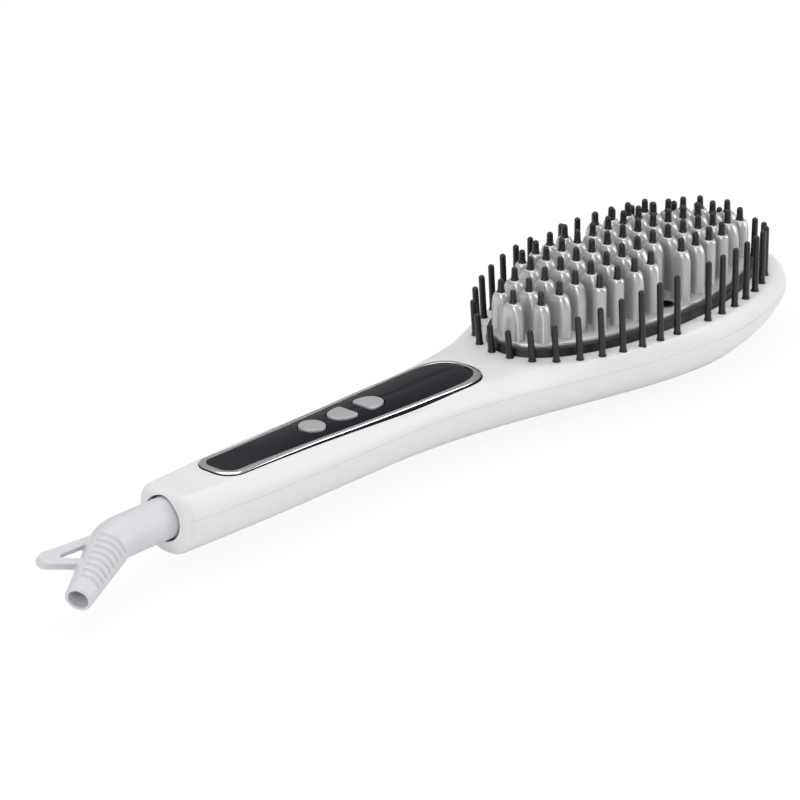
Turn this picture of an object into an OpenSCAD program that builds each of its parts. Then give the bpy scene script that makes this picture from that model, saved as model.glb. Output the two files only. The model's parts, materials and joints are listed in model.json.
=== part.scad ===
// Hair straightener brush: a heated comb plate in a two-part casing with a swivel cord exit.
// It lies on its back: +X points to the head's tip, +Z to the teeth, and z = 0 is the belly's level.

/* [Casing] */
// Length of the casing, from the handle's end to the head's tip
casing_l = 283.4; // [276:0.2:296]
// Distance from the plate's end to the head's tip
tip_rim = 15.1; // [14.6:0.1:17]
// Distance from the plate's side to the head's side
side_rim = 11.4; // [11:0.1:13]
// Width of the handle where it is held
handle_w = 29; // [28.6:0.2:34]
// Width of the handle at its end
end_w = 22; // [21.6:0.2:27]
// Length over which the head narrows into the handle
neck_l = 128; // [124:1:135]
// Depth of the head below the plate's face
head_depth = 27.6; // [27:0.2:34]
// Depth of the handle below the plate's face
handle_depth = 21.3; // [21:0.1:24]
// Wall of both casings
wall = 1.8; // [1.4:0.1:1.9]
// Drop from the plate's face to the parting line on the head
head_part_drop = 9.8; // [9.4:0.1:10]
// Drop from the plate's face to the parting line on the handle
handle_part_drop = 7.8; // [7.6:0.1:8]
// Drop from the plate's face to the deck that the outer bristles stand on
deck_drop = 3.9; // [3.7:0.1:4]
// Length over which the handle's end is rounded
end_round_l = 4.2; // [4:0.2:7]

/* [Plate and teeth] */
// Length of the heating plate
plate_l = 113.8; // [108:0.2:120]
// Width of the heating plate
plate_w = 47.6; // [46:0.2:50]
// Thickness of the heating plate
plate_t = 2.5; // [2.2:0.1:2.8]
// Teeth in the middle row
teeth_mid = 15; // [11:2:15]
// Distance from the plate's end to the middle of the last tooth
tooth_end_gap = 3.14; // [3:0.02:5]
// Distance from the plate's side to the outermost row of teeth
tooth_side_gap = 5.6; // [5.4:0.1:6.2]
// Width of a tooth, across the brush
tooth_w = 8.7; // [7.6:0.1:8.8]
// Thickness of a tooth, along the brush
tooth_t = 4.3; // [3.6:0.1:4.5]
// Height of the tallest tooth, without its cap
tooth_h = 18.7; // [16:0.1:21]
// Radius of a tooth cap
cap_r = 1.05; // [0.95:0.05:1.3]
// Height of a tooth cap
cap_h = 4.4; // [3.6:0.1:5]
// Bore of the two outlets in the plate
outlet_bore = 4.4; // [3.6:0.1:4.6]

/* [Outer bristles] */
// Places round the deck, of which the two at the middle of the sides stay empty
bristle_places = 39; // [35:4:39]
// Radius of a bristle
bristle_r = 1.05; // [0.8:0.05:1.1]
// Length of the longest bristle above the deck
bristle_l = 20.2; // [16:0.2:22]
// How much shorter the row on the far side is
far_shorter = 2.4; // [0:0.2:3]
// Distance from the plate's end to the oval that the bristles stand on
bristle_end_gap = 3; // [2.9:0.05:3.2]
// Distance from the plate's side to the oval that the bristles stand on
bristle_side_gap = 7.3; // [7.2:0.05:7.5]

/* [Control panel] */
// Distance from the plate's end to the display lens
panel_gap = 20.6; // [19.6:0.2:22.6]
// Distance from the display lens to the handle's end
panel_end_gap = 23; // [22.5:0.5:28]
// Drop from the plate's face to the panel's glass there
panel_drop = 1.2; // [1.1:0.1:1.4]
// Tilt of the panel, up towards the handle's end
panel_tilt = 0.9; // [0.6:0.1:1]
// Length of the display lens from between the temperature buttons to its front end
lens_front_l = 53.5; // [51:0.5:54]
// Width of the lens at its handle end
lens_end_w = 12; // [11.6:0.2:13.2]
// Width of the lens at its widest
lens_w = 18.6; // [17.8:0.2:18.8]
// Thickness of the lens
lens_t = 2; // [1.8:0.1:2.2]
// Width of the bright bezel round the lens
bezel_w = 2.3; // [1.5:0.1:2.4]
// Diameter of the power button
power_d = 8.5; // [7.8:0.1:9]
// Length of each temperature button along the brush
temp_l = 8.3; // [7.8:0.1:8.8]
// Width of each temperature button
temp_w = 8.7; // [8:0.1:9.2]
// Height of the buttons above the lens
button_proud = 0.95; // [0.9:0.05:1.3]
// Travel of the buttons
button_travel = 0.8; // [0.4:0.1:0.8]

/* [Cord exit] */
// Radius of the round hole in the handle's end
exit_r = 7.25; // [7.1:0.05:7.4]
// Drop from the plate's face to the swivel's axis
swivel_drop = 9.3; // [9.2:0.05:9.8]
// Outer radius of the cord elbow
elbow_r = 6.45; // [6.3:0.05:6.7]
// Distance from the handle's end to the corner of the elbow's axis
elbow_l = 19.9; // [18.5:0.1:21]
// Angle that the elbow turns the cord through
elbow_bend = 27.4; // [24:0.2:31]
// How far the swivel is turned in the photographed pose
swivel_turn = 51; // [0:1:90]
// Length of the strain relief past the corner
relief_l = 27; // [25:0.5:32]
// Radius of the strain relief at its tip
relief_tip_r = 4.1; // [4:0.1:4.8]
// Diameter of the mains cord that the strain relief takes
cord_d = 6; // [5:0.2:6.4]
// Slots on each side of the strain relief
relief_slots = 8; // [4:1:8]
// Reach of the hanging loop past the elbow's corner
loop_reach = 27.8; // [27:0.2:32]

/* [Fasteners and fits] */
// Thread diameter of the casing screws
casing_screw_d = 2.6; // [2.2:0.1:2.8]
// Thread diameter of the small screws inside
small_screw_d = 2; // [1.8:0.1:2.1]
// Clearance between parts that are assembled together
gap = 0.15; // [0.1:0.05:0.2]
// Running clearance of the swivel's journal, on the radius
run_gap = 0.05; // [0.02:0.01:0.08]
// Clearance round each button
button_gap = 0.35; // [0.3:0.05:0.45]

/* [Hidden] */
$fn = 48;

// Frame: x = 0 is the middle of the bounding box, and z = 0 its bottom
head_front = plate_l / 2 + tip_rim;
head_w = plate_w + 2 * side_rim;
handle_back = casing_l - head_front;
head_x = (handle_back + elbow_l + loop_reach - head_front) / 2;
module at_plate() translate([head_x, 0, head_depth]) children();

// ---- Curves of the casing, in the plate's frame: x = 0 at the plate's middle, z = 0 on its face
widest_x = 6.5;
deepest_x = 12.5;
neck_power = 0.88;
depth_neck_l = 178;
depth_power = 0.63;
depth_tip_n = 1.34;
rise_tip_n = 4;
belly_n = 2.2;
shoulder_n = 1.8;
end_n = 2.8;
end_flat = 0.12;
grip_taper_l = 62;
deck_start_x = -plate_l / 2 - 1.1;
deck_blend_l = 40;
deck_below_lens = 0.8;
deck_share = 0.62;
bristle_n = 2.25;
deck_edge = 0.25;
bristle_a = plate_l / 2 + bristle_end_gap;
bristle_b = plate_w / 2 + bristle_side_gap;
panel_x = -plate_l / 2 - panel_gap - lens_front_l; // the panel's own frame starts here
lens_back_l = handle_back + panel_x - panel_end_gap;

function clamp01(t) = max(0, min(1, t));
function mix(a, b, t) = a + (b - a) * t;
function blend(x, from, len, power = 1) = 0.5 * (1 + cos(180 * pow(clamp01((from - x) / len), power)));
function round_off(t, n) = pow(max(0, 1 - pow(clamp01(t), n)), 1 / n);
function oval(a, b, n, steps = 96) = [
    for (i = [0:steps - 1]) let (c = cos(360 * i / steps), s = sin(360 * i / steps))
        [a * sign(c) * pow(abs(c), 2 / n), b * sign(s) * pow(abs(s), 2 / n)]
];
function oval_half(x, a, b, n) = b * round_off(abs(x) / a, n);

function tip_round(x, from, n) = x > from ? round_off((x - from) / (head_front + end_flat - from), n) : 1;
function end_round(x) = round_off((end_round_l - handle_back - x) / (end_round_l + end_flat), end_n);
function plan_round(x) = tip_round(x, widest_x, 2) * end_round(x);
function rise_round(x) = tip_round(x, widest_x, rise_tip_n) * end_round(x);
function depth_round(x) = tip_round(x, deepest_x, depth_tip_n) * end_round(x);
function grip_half(x) = mix(end_w, handle_w, 1 - pow(1 - clamp01((x + handle_back) / grip_taper_l), 2)) / 2;
function half_base(x) = mix(grip_half(x), head_w / 2, blend(x, widest_x, neck_l, neck_power));
function depth_base(x) = mix(handle_depth - handle_part_drop, head_depth - head_part_drop,
                             blend(x, deepest_x, depth_neck_l, depth_power));
function part_z(x) = -mix(handle_part_drop, head_part_drop, blend(x, widest_x, neck_l));
function panel_z(x) = -panel_drop - (x - panel_x) * tan(panel_tilt);
function deck_z(x) = mix(panel_z(x) - deck_below_lens, -deck_drop, blend(x, deck_start_x, deck_blend_l));
function deck_half(x) = let (
    e = bristle_r + deck_edge, plain = deck_share * half_base(x) * plan_round(x),
    wide = oval_half(x, bristle_a + e, bristle_b + e, bristle_n))
    pow(pow(plain, 6) + pow(wide, 6), 1 / 6);
function half_at(x) = half_base(x) * plan_round(x);
function floor_z(x, y) = part_z(x) - depth_base(x) * depth_round(x) * round_off(abs(y) / half_at(x), belly_n);

// Stations along the casing lie closer together towards its ends
stations = 44;
function station_x(i) = let (u = i / stations)
    -handle_back + casing_l * (0.35 * u + 0.65 * (0.5 - 0.5 * cos(180 * u)));
function inset_x(x, t) = x + t - 2 * t * (x + handle_back) / casing_l;

// Half section of the upper half, from the rim over the shoulder to the deck's edge, t inside the skin
function shoulder(x, t, steps) = let (
    w = (half_base(x) - t) * plan_round(x), z = part_z(x),
    d = min(deck_half(x) - t * plan_round(x), w * 0.97), h = (deck_z(x) - z - t) * rise_round(x))
    [for (k = [0:steps]) let (a = 90 * k / steps)
        [d + (w - d) * pow(cos(a), 2 / shoulder_n), z + h * pow(sin(a), 2 / shoulder_n)]];
// Whole section of the upper half, from the near rim over both shoulders to the far rim
function upper_section(i, t, steps) = let (
    x = inset_x(station_x(i), t), side = shoulder(station_x(i), t, steps), top = side[steps])
    concat([for (p = side) [x, -p[0], p[1]]], [for (k = [-1:1]) [x, k * top[0] / 2, top[1]]],
           [for (k = [steps:-1:0]) [x, side[k][0], side[k][1]]]);

// Section of the lower half, from the far rim under the belly to the near rim
function belly(x, t, steps) = let (
    w = (half_base(x) - t) * plan_round(x), h = (depth_base(x) - t) * depth_round(x))
    [for (k = [0:steps]) let (c = cos(180 * k / steps), s = sin(180 * k / steps))
        [w * sign(c) * pow(abs(c), 2 / belly_n), part_z(x) - h * pow(s, 2 / belly_n)]];
function lower_section(i, t, steps) = let (x = inset_x(station_x(i), t))
    [for (p = belly(station_x(i), t, steps)) [x, p[0], p[1]]];

// A shell between an outer and an inner list of sections, closed along its rims and at both ends
module shell(outer, inner) {
    rows = len(outer);
    m = len(outer[0]);
    n = len(inner[0]);
    first_in = rows * m;
    last_out = (rows - 1) * m;
    last_in = first_in + (rows - 1) * n;
    skin = [for (i = [0:rows - 2], k = [0:m - 2]) let (p = i * m + k)
        each [[p, p + 1, p + m], [p + 1, p + m + 1, p + m]]];
    lining = [for (i = [0:rows - 2], k = [0:n - 2]) let (p = first_in + i * n + k)
        each [[p, p + n, p + 1], [p + 1, p + n, p + n + 1]]];
    rims = [for (i = [0:rows - 2]) let (a = i * m, b = first_in + i * n, c = a + m - 1, d = b + n - 1)
        each [[a, a + m, b + n], [a, b + n, b], [c, d, d + n], [c, d + n, c + m]]];
    ends = [
        [for (k = [m - 1:-1:0]) k], [for (k = [0:n - 1]) first_in + k],
        [for (k = [0:m - 1]) last_out + k], [for (k = [n - 1:-1:0]) last_in + k],
        [0, first_in, first_in + n - 1, m - 1],
        [last_out, last_out + m - 1, last_in + n - 1, last_in]
    ];
    polyhedron(concat([for (s = outer) each s], [for (s = inner) each s]), concat(skin, lining, rims, ends));
}

// The solid that a list of sections encloses, for cutting off what stands inside the casing
module core(sections) {
    rows = len(sections);
    m = len(sections[0]);
    last = (rows - 1) * m;
    polyhedron([for (s = sections) each s], concat(
        [for (i = [0:rows - 2], k = [0:m - 1]) let (p = i * m + k, q = i * m + (k + 1) % m)
            each [[p, q, p + m], [q, q + m, p + m]]],
        [[for (k = [m - 1:-1:0]) k], [for (k = [0:m - 1]) last + k]]));
}

// ---- Frames of the panel and of the cord exit
module at_panel() at_plate() translate([panel_x, 0, -panel_drop]) rotate([0, panel_tilt, 0]) children();
// +Z points out of the handle's end here, and +X up
module at_exit() at_plate() translate([-handle_back, 0, -swivel_drop]) rotate([0, -90, 0]) children();

module block(x0, x1, y0, y1, z0, z1) translate([x0, y0, z0]) cube([x1 - x0, y1 - y0, z1 - z0]);
module rod(r, z0, z1) translate([0, 0, z0]) cylinder(r = r, h = z1 - z0);
module tube(r, bore, z0, z1) difference() {
    rod(r, z0, z1);
    rod(bore, z0 - 1, z1 + 1);
}
module plate_of(points, z0, z1) translate([0, 0, z0]) linear_extrude(z1 - z0) polygon(points);
// A screw that points up: its head's underside is at z = 0
module screw(d, l, head_r, head_h) {
    rod(head_r, -head_h, 0);
    rod(d / 2, 0, l);
}

// ---- Places of the fasteners
end_screw_gap = 25;
neck_screw_gap = 16.1;
tip_screw_gap = 8;
end_screw_y = 5.8;
neck_screw_y = 11;
casing_screws_at = [
    for (s = [1, -1]) [end_screw_gap - handle_back, s * end_screw_y],
    for (s = [1, -1]) [-plate_l / 2 - neck_screw_gap, s * neck_screw_y],
    [head_front - tip_screw_gap, 0]
];
shelf_t = 2;
casing_screw_l = 6;
casing_head_r = 2.4;
casing_head_h = 1.6;
boss_wall = 1.2;
thread_bite = 0.25; // the pilot is narrower than the thread by this much on the radius
small_head_r = 1.8;
small_head_h = 1.3;
ring_screw_x = 22;
ring_screw_y = bristle_b - 4.35;
ring_boss_r = 1.55;
plate_boss_x = plate_l / 2 - 12.9;
plate_boss_y = plate_w / 2 - 14.8;
plate_boss_at = [for (sx = [-1, 1], sy = [-1, 1]) [plate_boss_x * sx, plate_boss_y * sy]];
plate_boss_r = 3;
board_end_gap = 29; // the board stays clear of the end screws
board_back_l = handle_back + panel_x - board_end_gap;
board_boss_at = [[6 - board_back_l, 5.8], [6 - board_back_l, -5.8], [17, 6.4], [17, -6.4]];
board_boss_r = 1.75;

// ---- Insulating ring round the plate
ring_n = 2.07;
plate_n = 2.17;
ring_a = plate_l / 2 + 1.5;
ring_b = plate_w / 2 + 3;
ring_top = -0.9;
ledge_w = 1.6;
ledge_h = 1.6;
flange_t = 1.45;
flange_a = bristle_a - 0.5;
flange_b = bristle_b - 1.5;
comb_top = -deck_drop - wall - 0.75; // clear of the deck where it falls towards the head's tip
comb_t = 1.9;
flange_top = comb_top - comb_t;
ring_tab_t = 1.7;
ring_bottom = flange_top - flange_t - 1;
tab_top = ring_bottom + ring_tab_t;

// ---- Outer bristles: places by arc length along their oval
oval_steps = 720;
path = [for (i = [0:oval_steps]) let (c = cos(360 * i / oval_steps), s = sin(360 * i / oval_steps))
    [-bristle_a * sign(c) * pow(abs(c), 2 / bristle_n), -bristle_b * sign(s) * pow(abs(s), 2 / bristle_n)]];
path_run = [for (i = 0, t = 0; i <= oval_steps;
    t = t + (i < oval_steps ? norm(path[i + 1] - path[i]) : 0), i = i + 1) t];
function on_path(s, lo = 0, hi = oval_steps) = hi - lo < 2
    ? mix(path[lo], path[hi], (s - path_run[lo]) / (path_run[hi] - path_run[lo]))
    : let (m = floor((lo + hi) / 2)) path_run[m] > s ? on_path(s, lo, m) : on_path(s, m, hi);
function foot(i) = on_path((i + 0.5) * path_run[oval_steps] / bristle_places);
half_places = (bristle_places - 1) / 2;
near_places = [for (i = [0:half_places]) if (i != floor(half_places / 2)) i];
far_places = [for (i = [half_places + 1:bristle_places - 1])
    if (i != bristle_places - 1 - floor(half_places / 2)) i];
bristle_droop = 3.9e-5;
lean = 6;
function bristle_len(x) = bristle_l - bristle_droop * pow(abs(x - 5), 3);

module bristle(i, shorter) {
    p = foot(i);
    l = bristle_len(p[0]) - shorter * clamp01((55 - abs(p[0])) / 20) - bristle_r;
    translate([p[0], p[1], -deck_drop]) rotate([0, lean * p[0] / bristle_a * (p[0] < 0 ? 1 : 0.3), 0]) {
        rod(bristle_r, comb_top - comb_t + deck_drop + 0.1, l);
        translate([0, 0, l]) sphere(bristle_r);
        cylinder(r1 = bristle_r + 0.25, r2 = bristle_r, h = 1.2);
    }
}
module bristle_hole(i) {
    p = foot(i);
    translate([p[0], p[1], -deck_drop]) rotate([0, lean * p[0] / bristle_a * (p[0] < 0 ? 1 : 0.3), 0])
        rod(bristle_r + gap, -comb_t - wall - 0.4, 2);
}
// The two combs meet behind the head's tip, where the bristle at y = 0 stands on the near comb
tip_split = 1.4;
rail_l = 34;
rail_top = -deck_drop - wall - 0.03;
eyelet_r = 3;
module comb_half(side) {
    block(-bristle_a - 2, 0, side > 0 ? 0.3 : -40, side > 0 ? 40 : -0.3, -20, 0);
    block(-1, bristle_a + 2, side > 0 ? tip_split + 0.3 : -40, side > 0 ? 40 : tip_split, -20, 0);
}
module comb(side, places, shorter) color("#1d1d1f") at_plate() {
    difference() {
        intersection() {
            union() {
                difference() {
                    plate_of(oval(bristle_a + 0.5, bristle_b - 0.7, bristle_n), comb_top - comb_t, comb_top);
                    plate_of(oval(ring_a, bristle_b - 2.5, bristle_n), comb_top - comb_t - 1, comb_top + 1);
                }
                intersection() {
                    plate_of(oval(bristle_a, bristle_b - 1.2, bristle_n), comb_top - 0.1, rail_top);
                    block(-rail_l, rail_l, side > 0 ? 20 : -40, side > 0 ? 40 : -20, -20, 0);
                }
                for (sx = [-1, 1]) intersection() {
                    translate([sx * ring_screw_x, side * ring_screw_y, 0])
                        rod(eyelet_r, comb_top - comb_t, comb_top);
                    plate_of(oval(bristle_a + 0.5, bristle_b + 0.3, bristle_n), comb_top - comb_t, comb_top);
                }
            }
            comb_half(side);
        }
        plate_of(oval(bristle_a - 2, bristle_b - 2.5, bristle_n), comb_top, 0);
        plate_of(oval(ring_a + 0.25, ring_b + 0.25, ring_n), -20, 0);
        for (sx = [-1, 1]) translate([sx * ring_screw_x, side * ring_screw_y, 0])
            rod(ring_boss_r + 0.3, -20, 0);
    }
    for (i = places) bristle(i, shorter);
}
module near_bristle_comb() comb(-1, near_places, 0);
module far_bristle_comb() comb(1, far_places, far_shorter);

// ---- Control panel, in the panel's frame: z = 0 is the face of the lens
lens_corner = 4;
lens_widest_x = 39;
lens_nose_l = 15;
panel_floor_t = 1.6;
floor_under = -lens_t - panel_floor_t;
pad_margin = 1;
board_top = floor_under - 4;
board_t = 1.6;
board_front_l = lens_front_l - 7.5;
board_half = 8.6;
power_x = -15.4;
minus_x = -2.9;   // middle of the minus button
plus_x = 10.7;
flange_out = 1.1;
flange_h = 0.9;
supply_h = 6.5;
relay_h = 4.5;
chip_h = 1.2;
buffer_h = 6;
switch_stem_top = floor_under - 0.05 - flange_h - button_travel - 0.1;
display_x = [19.4, 43.4];
display_half = 7;
window = [display_x[0] + 1.6, display_x[1] - 2.4, 1.5 - display_half, display_half - 1.5];

function lens_half(x, grow) = let (
    c = lens_corner + grow, back = -lens_back_l - grow, front = lens_front_l + grow,
    wide = mix(lens_end_w, lens_w, blend(x, lens_widest_x, lens_back_l + lens_widest_x)) / 2 + grow)
    x > front - lens_nose_l ? wide * round_off((x - front + lens_nose_l) / lens_nose_l, 2.3)
    : wide - c + c * round_off((back + c - x) / c, 2);
lens_steps = 40;
function lens_outline(grow) = let (
    back = -lens_back_l - grow, front = lens_front_l + grow,
    xs = [for (i = [0:lens_steps]) mix(back, front, 0.5 - 0.5 * cos(180 * i / lens_steps))])
    concat([for (x = xs) [x, -lens_half(x, grow)]],
           [for (i = [lens_steps - 1:-1:0]) [xs[i], lens_half(xs[i], grow)]]);
// Outline of a temperature button: straight on its inner side, round on its outer side (turn = -1 or 1)
temp_n = 2.5;
function half_moon(turn, grow) = let (l = temp_l + 2 * grow, w = temp_w / 2 + grow)
    [for (i = [0:24]) let (c = cos(7.5 * i), s = sin(7.5 * i))
        [turn * (l * pow(s, 2 / temp_n) - l / 2), -turn * w * sign(c) * pow(abs(c), 2 / temp_n)]];

module round_button(x) color("#adabb0") at_panel() translate([x, 0, 0]) {
    rod(power_d / 2, floor_under - 0.05, button_proud - 0.3);
    translate([0, 0, button_proud - 0.3]) cylinder(r1 = power_d / 2, r2 = power_d / 2 - 0.3, h = 0.3);
    rod(power_d / 2 + flange_out, floor_under - 0.05 - flange_h, floor_under - 0.05);
}
module temperature_button(x, turn) color("#adabb0") at_panel() translate([x, 0, 0]) {
    plate_of(half_moon(turn, 0), floor_under - 0.05, button_proud - 0.2);
    plate_of(half_moon(turn, -0.2), floor_under, button_proud);
    plate_of(half_moon(turn, flange_out / 2), floor_under - 0.05 - flange_h, floor_under - 0.05);
}
module power_button() round_button(power_x);
module minus_button() temperature_button(minus_x, -1);
module plus_button() temperature_button(plus_x, 1);
module button_holes(z0, z1) {
    translate([power_x, 0, 0]) rod(power_d / 2 + button_gap, z0, z1);
    translate([minus_x, 0, 0]) plate_of(half_moon(-1, button_gap), z0, z1);
    translate([plus_x, 0, 0]) plate_of(half_moon(1, button_gap), z0, z1);
}
module display_lens() color("#15151c") at_panel() difference() {
    plate_of(lens_outline(0), -lens_t, 0);
    button_holes(-lens_t - 1, 1);
}
module panel_bezel() color("#c9cbce") at_panel() difference() {
    union() {
        plate_of(lens_outline(bezel_w), -lens_t, -deck_below_lens);
        plate_of(lens_outline(bezel_w / 2), -lens_t, 0.1);
    }
    plate_of(lens_outline(0.05), -lens_t - 1, 1);
}
module control_board() color("#2f6b3c") at_panel() difference() {
    block(-board_back_l, board_front_l, -board_half, board_half, board_top - board_t, board_top);
    for (p = board_boss_at) translate([p[0], p[1], 0]) rod(small_screw_d / 2 + gap, -20, 0);
}
module board_screws() color("#8d9094") at_panel() for (p = board_boss_at)
    translate([p[0], p[1], board_top - board_t]) screw(small_screw_d, 4.4, small_head_r, small_head_h);
module tact_switches() color("#3a3a3c") at_panel() for (x = [power_x, minus_x, plus_x]) {
    block(x - 3, x + 3, -3, 3, board_top, switch_stem_top - 0.5);
    translate([x, 0, 0]) rod(1.5, switch_stem_top - 0.6, switch_stem_top);
}
module lcd_module() color("#2a2c33") at_panel()
    block(display_x[0], display_x[1], -display_half, display_half, board_top, floor_under - gap);
module board_components() color("#40464d") at_panel() {
    under = board_top - board_t;
    block(12 - board_back_l, 26 - board_back_l, -5.5, 5.5, under - supply_h, under);
    block(power_x - 6.4, power_x + 6.4, -3.9, 3.9, under - relay_h, under);
    block(display_x[0] + 2.6, display_x[0] + 10.6, -4, 4, under - chip_h, under);
    translate([4, 0, 0]) rod(4, under - buffer_h, under);
}

// ---- Casings
bush_r = 6.7;
bush_neck_r = 6;
rib_z = [-7.4, -5.1];
trim = 0.4; // what stands inside is cut off this far inside the skin

module upper_casing() color("#dcdde0") at_plate() difference() {
    union() {
        shell([for (i = [0:stations]) upper_section(i, 0, 7)],
              [for (i = [0:stations]) upper_section(i, wall, 4)]);
        at_deck() {
            plate_of(lens_outline(bezel_w + pad_margin), floor_under, -lens_t + 0.2);
            for (p = board_boss_at) translate([p[0], p[1], 0]) rod(board_boss_r, board_top, -lens_t - 0.4);
        }
        intersection() {
            core([for (i = [0:stations]) upper_section(i, trim, 4)]);
            union() {
                for (p = casing_screws_at) translate([p[0], p[1], 0])
                    rod(casing_screw_d / 2 + boss_wall, part_z(p[0]) + 0.05, 0);
                exit_rib(0.05, 10);
            }
        }
        for (sx = [-1, 1], sy = [-1, 1]) translate([sx * ring_screw_x, sy * ring_screw_y, 0])
            rod(ring_boss_r, flange_top, -deck_drop - wall / 2);
    }
    plate_of(oval(ring_a + gap, ring_b + gap, ring_n), -30, 5);
    at_deck() {
        plate_of(lens_outline(bezel_w + gap), -lens_t, 10);
        button_holes(-20, 0);
        block(window[0], window[1], window[2], window[3], -20, 0);
        for (p = board_boss_at) translate([p[0], p[1], board_top])
            rod(small_screw_d / 2 - thread_bite, -1, 3.3);
    }
    for (i = near_places) bristle_hole(i);
    for (i = far_places) bristle_hole(i);
    for (p = casing_screws_at) translate([p[0], p[1], part_z(p[0])])
        rod(casing_screw_d / 2 - thread_bite, -1, casing_screw_l - shelf_t + 0.1);
    for (sx = [-1, 1], sy = [-1, 1]) translate([sx * ring_screw_x, sy * ring_screw_y, flange_top])
        rod(small_screw_d / 2 - thread_bite, -1, 2.9);
    exit_bores();
}
module lower_casing() color("#dcdde0") at_plate() difference() {
    union() {
        shell([for (i = [0:stations]) lower_section(i, 0, 16)],
              [for (i = [0:stations]) lower_section(i, wall, 10)]);
        intersection() {
            core([for (i = [0:stations]) lower_section(i, trim, 10)]);
            union() {
                for (p = casing_screws_at) translate([p[0], p[1], 0])
                    rod(casing_head_r + gap + boss_wall, -40, part_z(p[0]) - 0.05);
                exit_rib(-20, -0.05);
                for (y = [-8, 7]) block(-12, 16, y, y + 1.6, -40, ioniser_z);
                for (x = carrier_ribs) block(x, x + 1.6, -4, 4, -40, carrier_z);
            }
        }
    }
    for (p = casing_screws_at) translate([p[0], p[1], 0]) {
        rod(casing_screw_d / 2 + gap, -40, 0);
        rod(casing_head_r + gap, -40, part_z(p[0]) - shelf_t);
    }
    exit_bores();
}
module at_deck() translate([panel_x, 0, -panel_drop]) rotate([0, panel_tilt, 0]) children();
// The wall inside the handle's end that the swivel's bush sits in, z0 to z1 from the parting line
module exit_rib(z0, z1) translate([-handle_back, 0, part_z(-handle_back)])
    block(-rib_z[1], -rib_z[0], -20, 20, z0, z1);
module exit_bores() translate([-handle_back, 0, -swivel_drop]) rotate([0, -90, 0]) {
    rod(exit_r, -3.4, 5);
    rod(bush_r + 0.25, rib_z[1], -3);
    rod(bush_r + 0.25, rib_z[0] - 2.2, rib_z[0]);
    rod(bush_neck_r + gap, rib_z[0] - 1, rib_z[1] + 1);
}
module casing_screws() color("#8d9094") at_plate() for (p = casing_screws_at)
    translate([p[0], p[1], part_z(p[0]) - shelf_t])
        screw(casing_screw_d, casing_screw_l, casing_head_r, casing_head_h);

// ---- Heating plate, its ring and what hangs under it
module insulating_ring() color("#1a1a1b") at_plate() difference() {
    union() {
        difference() {
            union() {
                plate_of(oval(ring_a, ring_b, ring_n), ring_bottom, ring_top);
                plate_of(oval(flange_a, flange_b, bristle_n), flange_top - flange_t, flange_top);
            }
            plate_of(oval(plate_l / 2 + 0.3, plate_w / 2 + 0.3, plate_n), ring_bottom - 1, 1);
        }
        difference() {
            plate_of(oval(plate_l / 2 + 1, plate_w / 2 + 1, plate_n), -plate_t - ledge_h, -plate_t);
            plate_of(oval(plate_l / 2 - ledge_w, plate_w / 2 - ledge_w, plate_n), -plate_t - 5, 1);
        }
        for (p = plate_boss_at) intersection() {
            plate_of(oval(plate_l / 2 + 1, plate_w / 2 + 1, plate_n), ring_bottom, tab_top);
            block(p[0] - 4, p[0] + 4, min(p[1] * 0.55, p[1] * 5), max(p[1] * 0.55, p[1] * 5), -20, 0);
        }
    }
    for (p = plate_boss_at) translate([p[0], p[1], 0]) rod(small_screw_d / 2 + gap, -20, 0);
    for (sx = [-1, 1], sy = [-1, 1]) translate([sx * ring_screw_x, sy * ring_screw_y, 0])
        rod(small_screw_d / 2 + gap, -20, 0);
}
module ring_screws() color("#8d9094") at_plate() for (sx = [-1, 1], sy = [-1, 1])
    translate([sx * ring_screw_x, sy * ring_screw_y, flange_top - flange_t])
        screw(small_screw_d, flange_t + 2.7, ring_boss_r, small_head_h);

// Teeth: [x, y, width] for each
outer_row_y = plate_w / 2 - tooth_side_gap;
row_pitch = (outer_row_y + 0.56) / 2;
tooth_pitch = (plate_l - 2 * tooth_end_gap) / (teeth_mid - 1);
outer_row_curve = 0.0021;
end_row_shift = 0.97;
end_tooth_w = 6.4;
side_tooth_w = 7;
side_teeth = 4;
half_teeth = (teeth_mid - 1) / 2;
teeth = concat(
    [for (i = [-half_teeth:half_teeth]) [i * tooth_pitch, 0, tooth_w]],
    [for (s = [-1, 1], i = [-half_teeth:half_teeth - 1]) let (
        last = i == -half_teeth || i == half_teeth - 1, y = last ? row_pitch - end_row_shift : row_pitch)
        [(i + 0.5) * tooth_pitch, s * y, last ? end_tooth_w : tooth_w]],
    [for (s = [-1, 1], i = [-side_teeth:side_teeth]) if (i != 0) let (x = i * tooth_pitch)
        [x, s * (outer_row_y - outer_row_curve * x * x), abs(i) > 2 ? tooth_t + 0.3 : side_tooth_w]]);
dome_x = 0.00234;
dome_y = 0.0069;
tip_r = 1.4;
function tooth_top(p) = tooth_h - dome_x * p[0] * p[0] - dome_y * p[1] * p[1];
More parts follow.
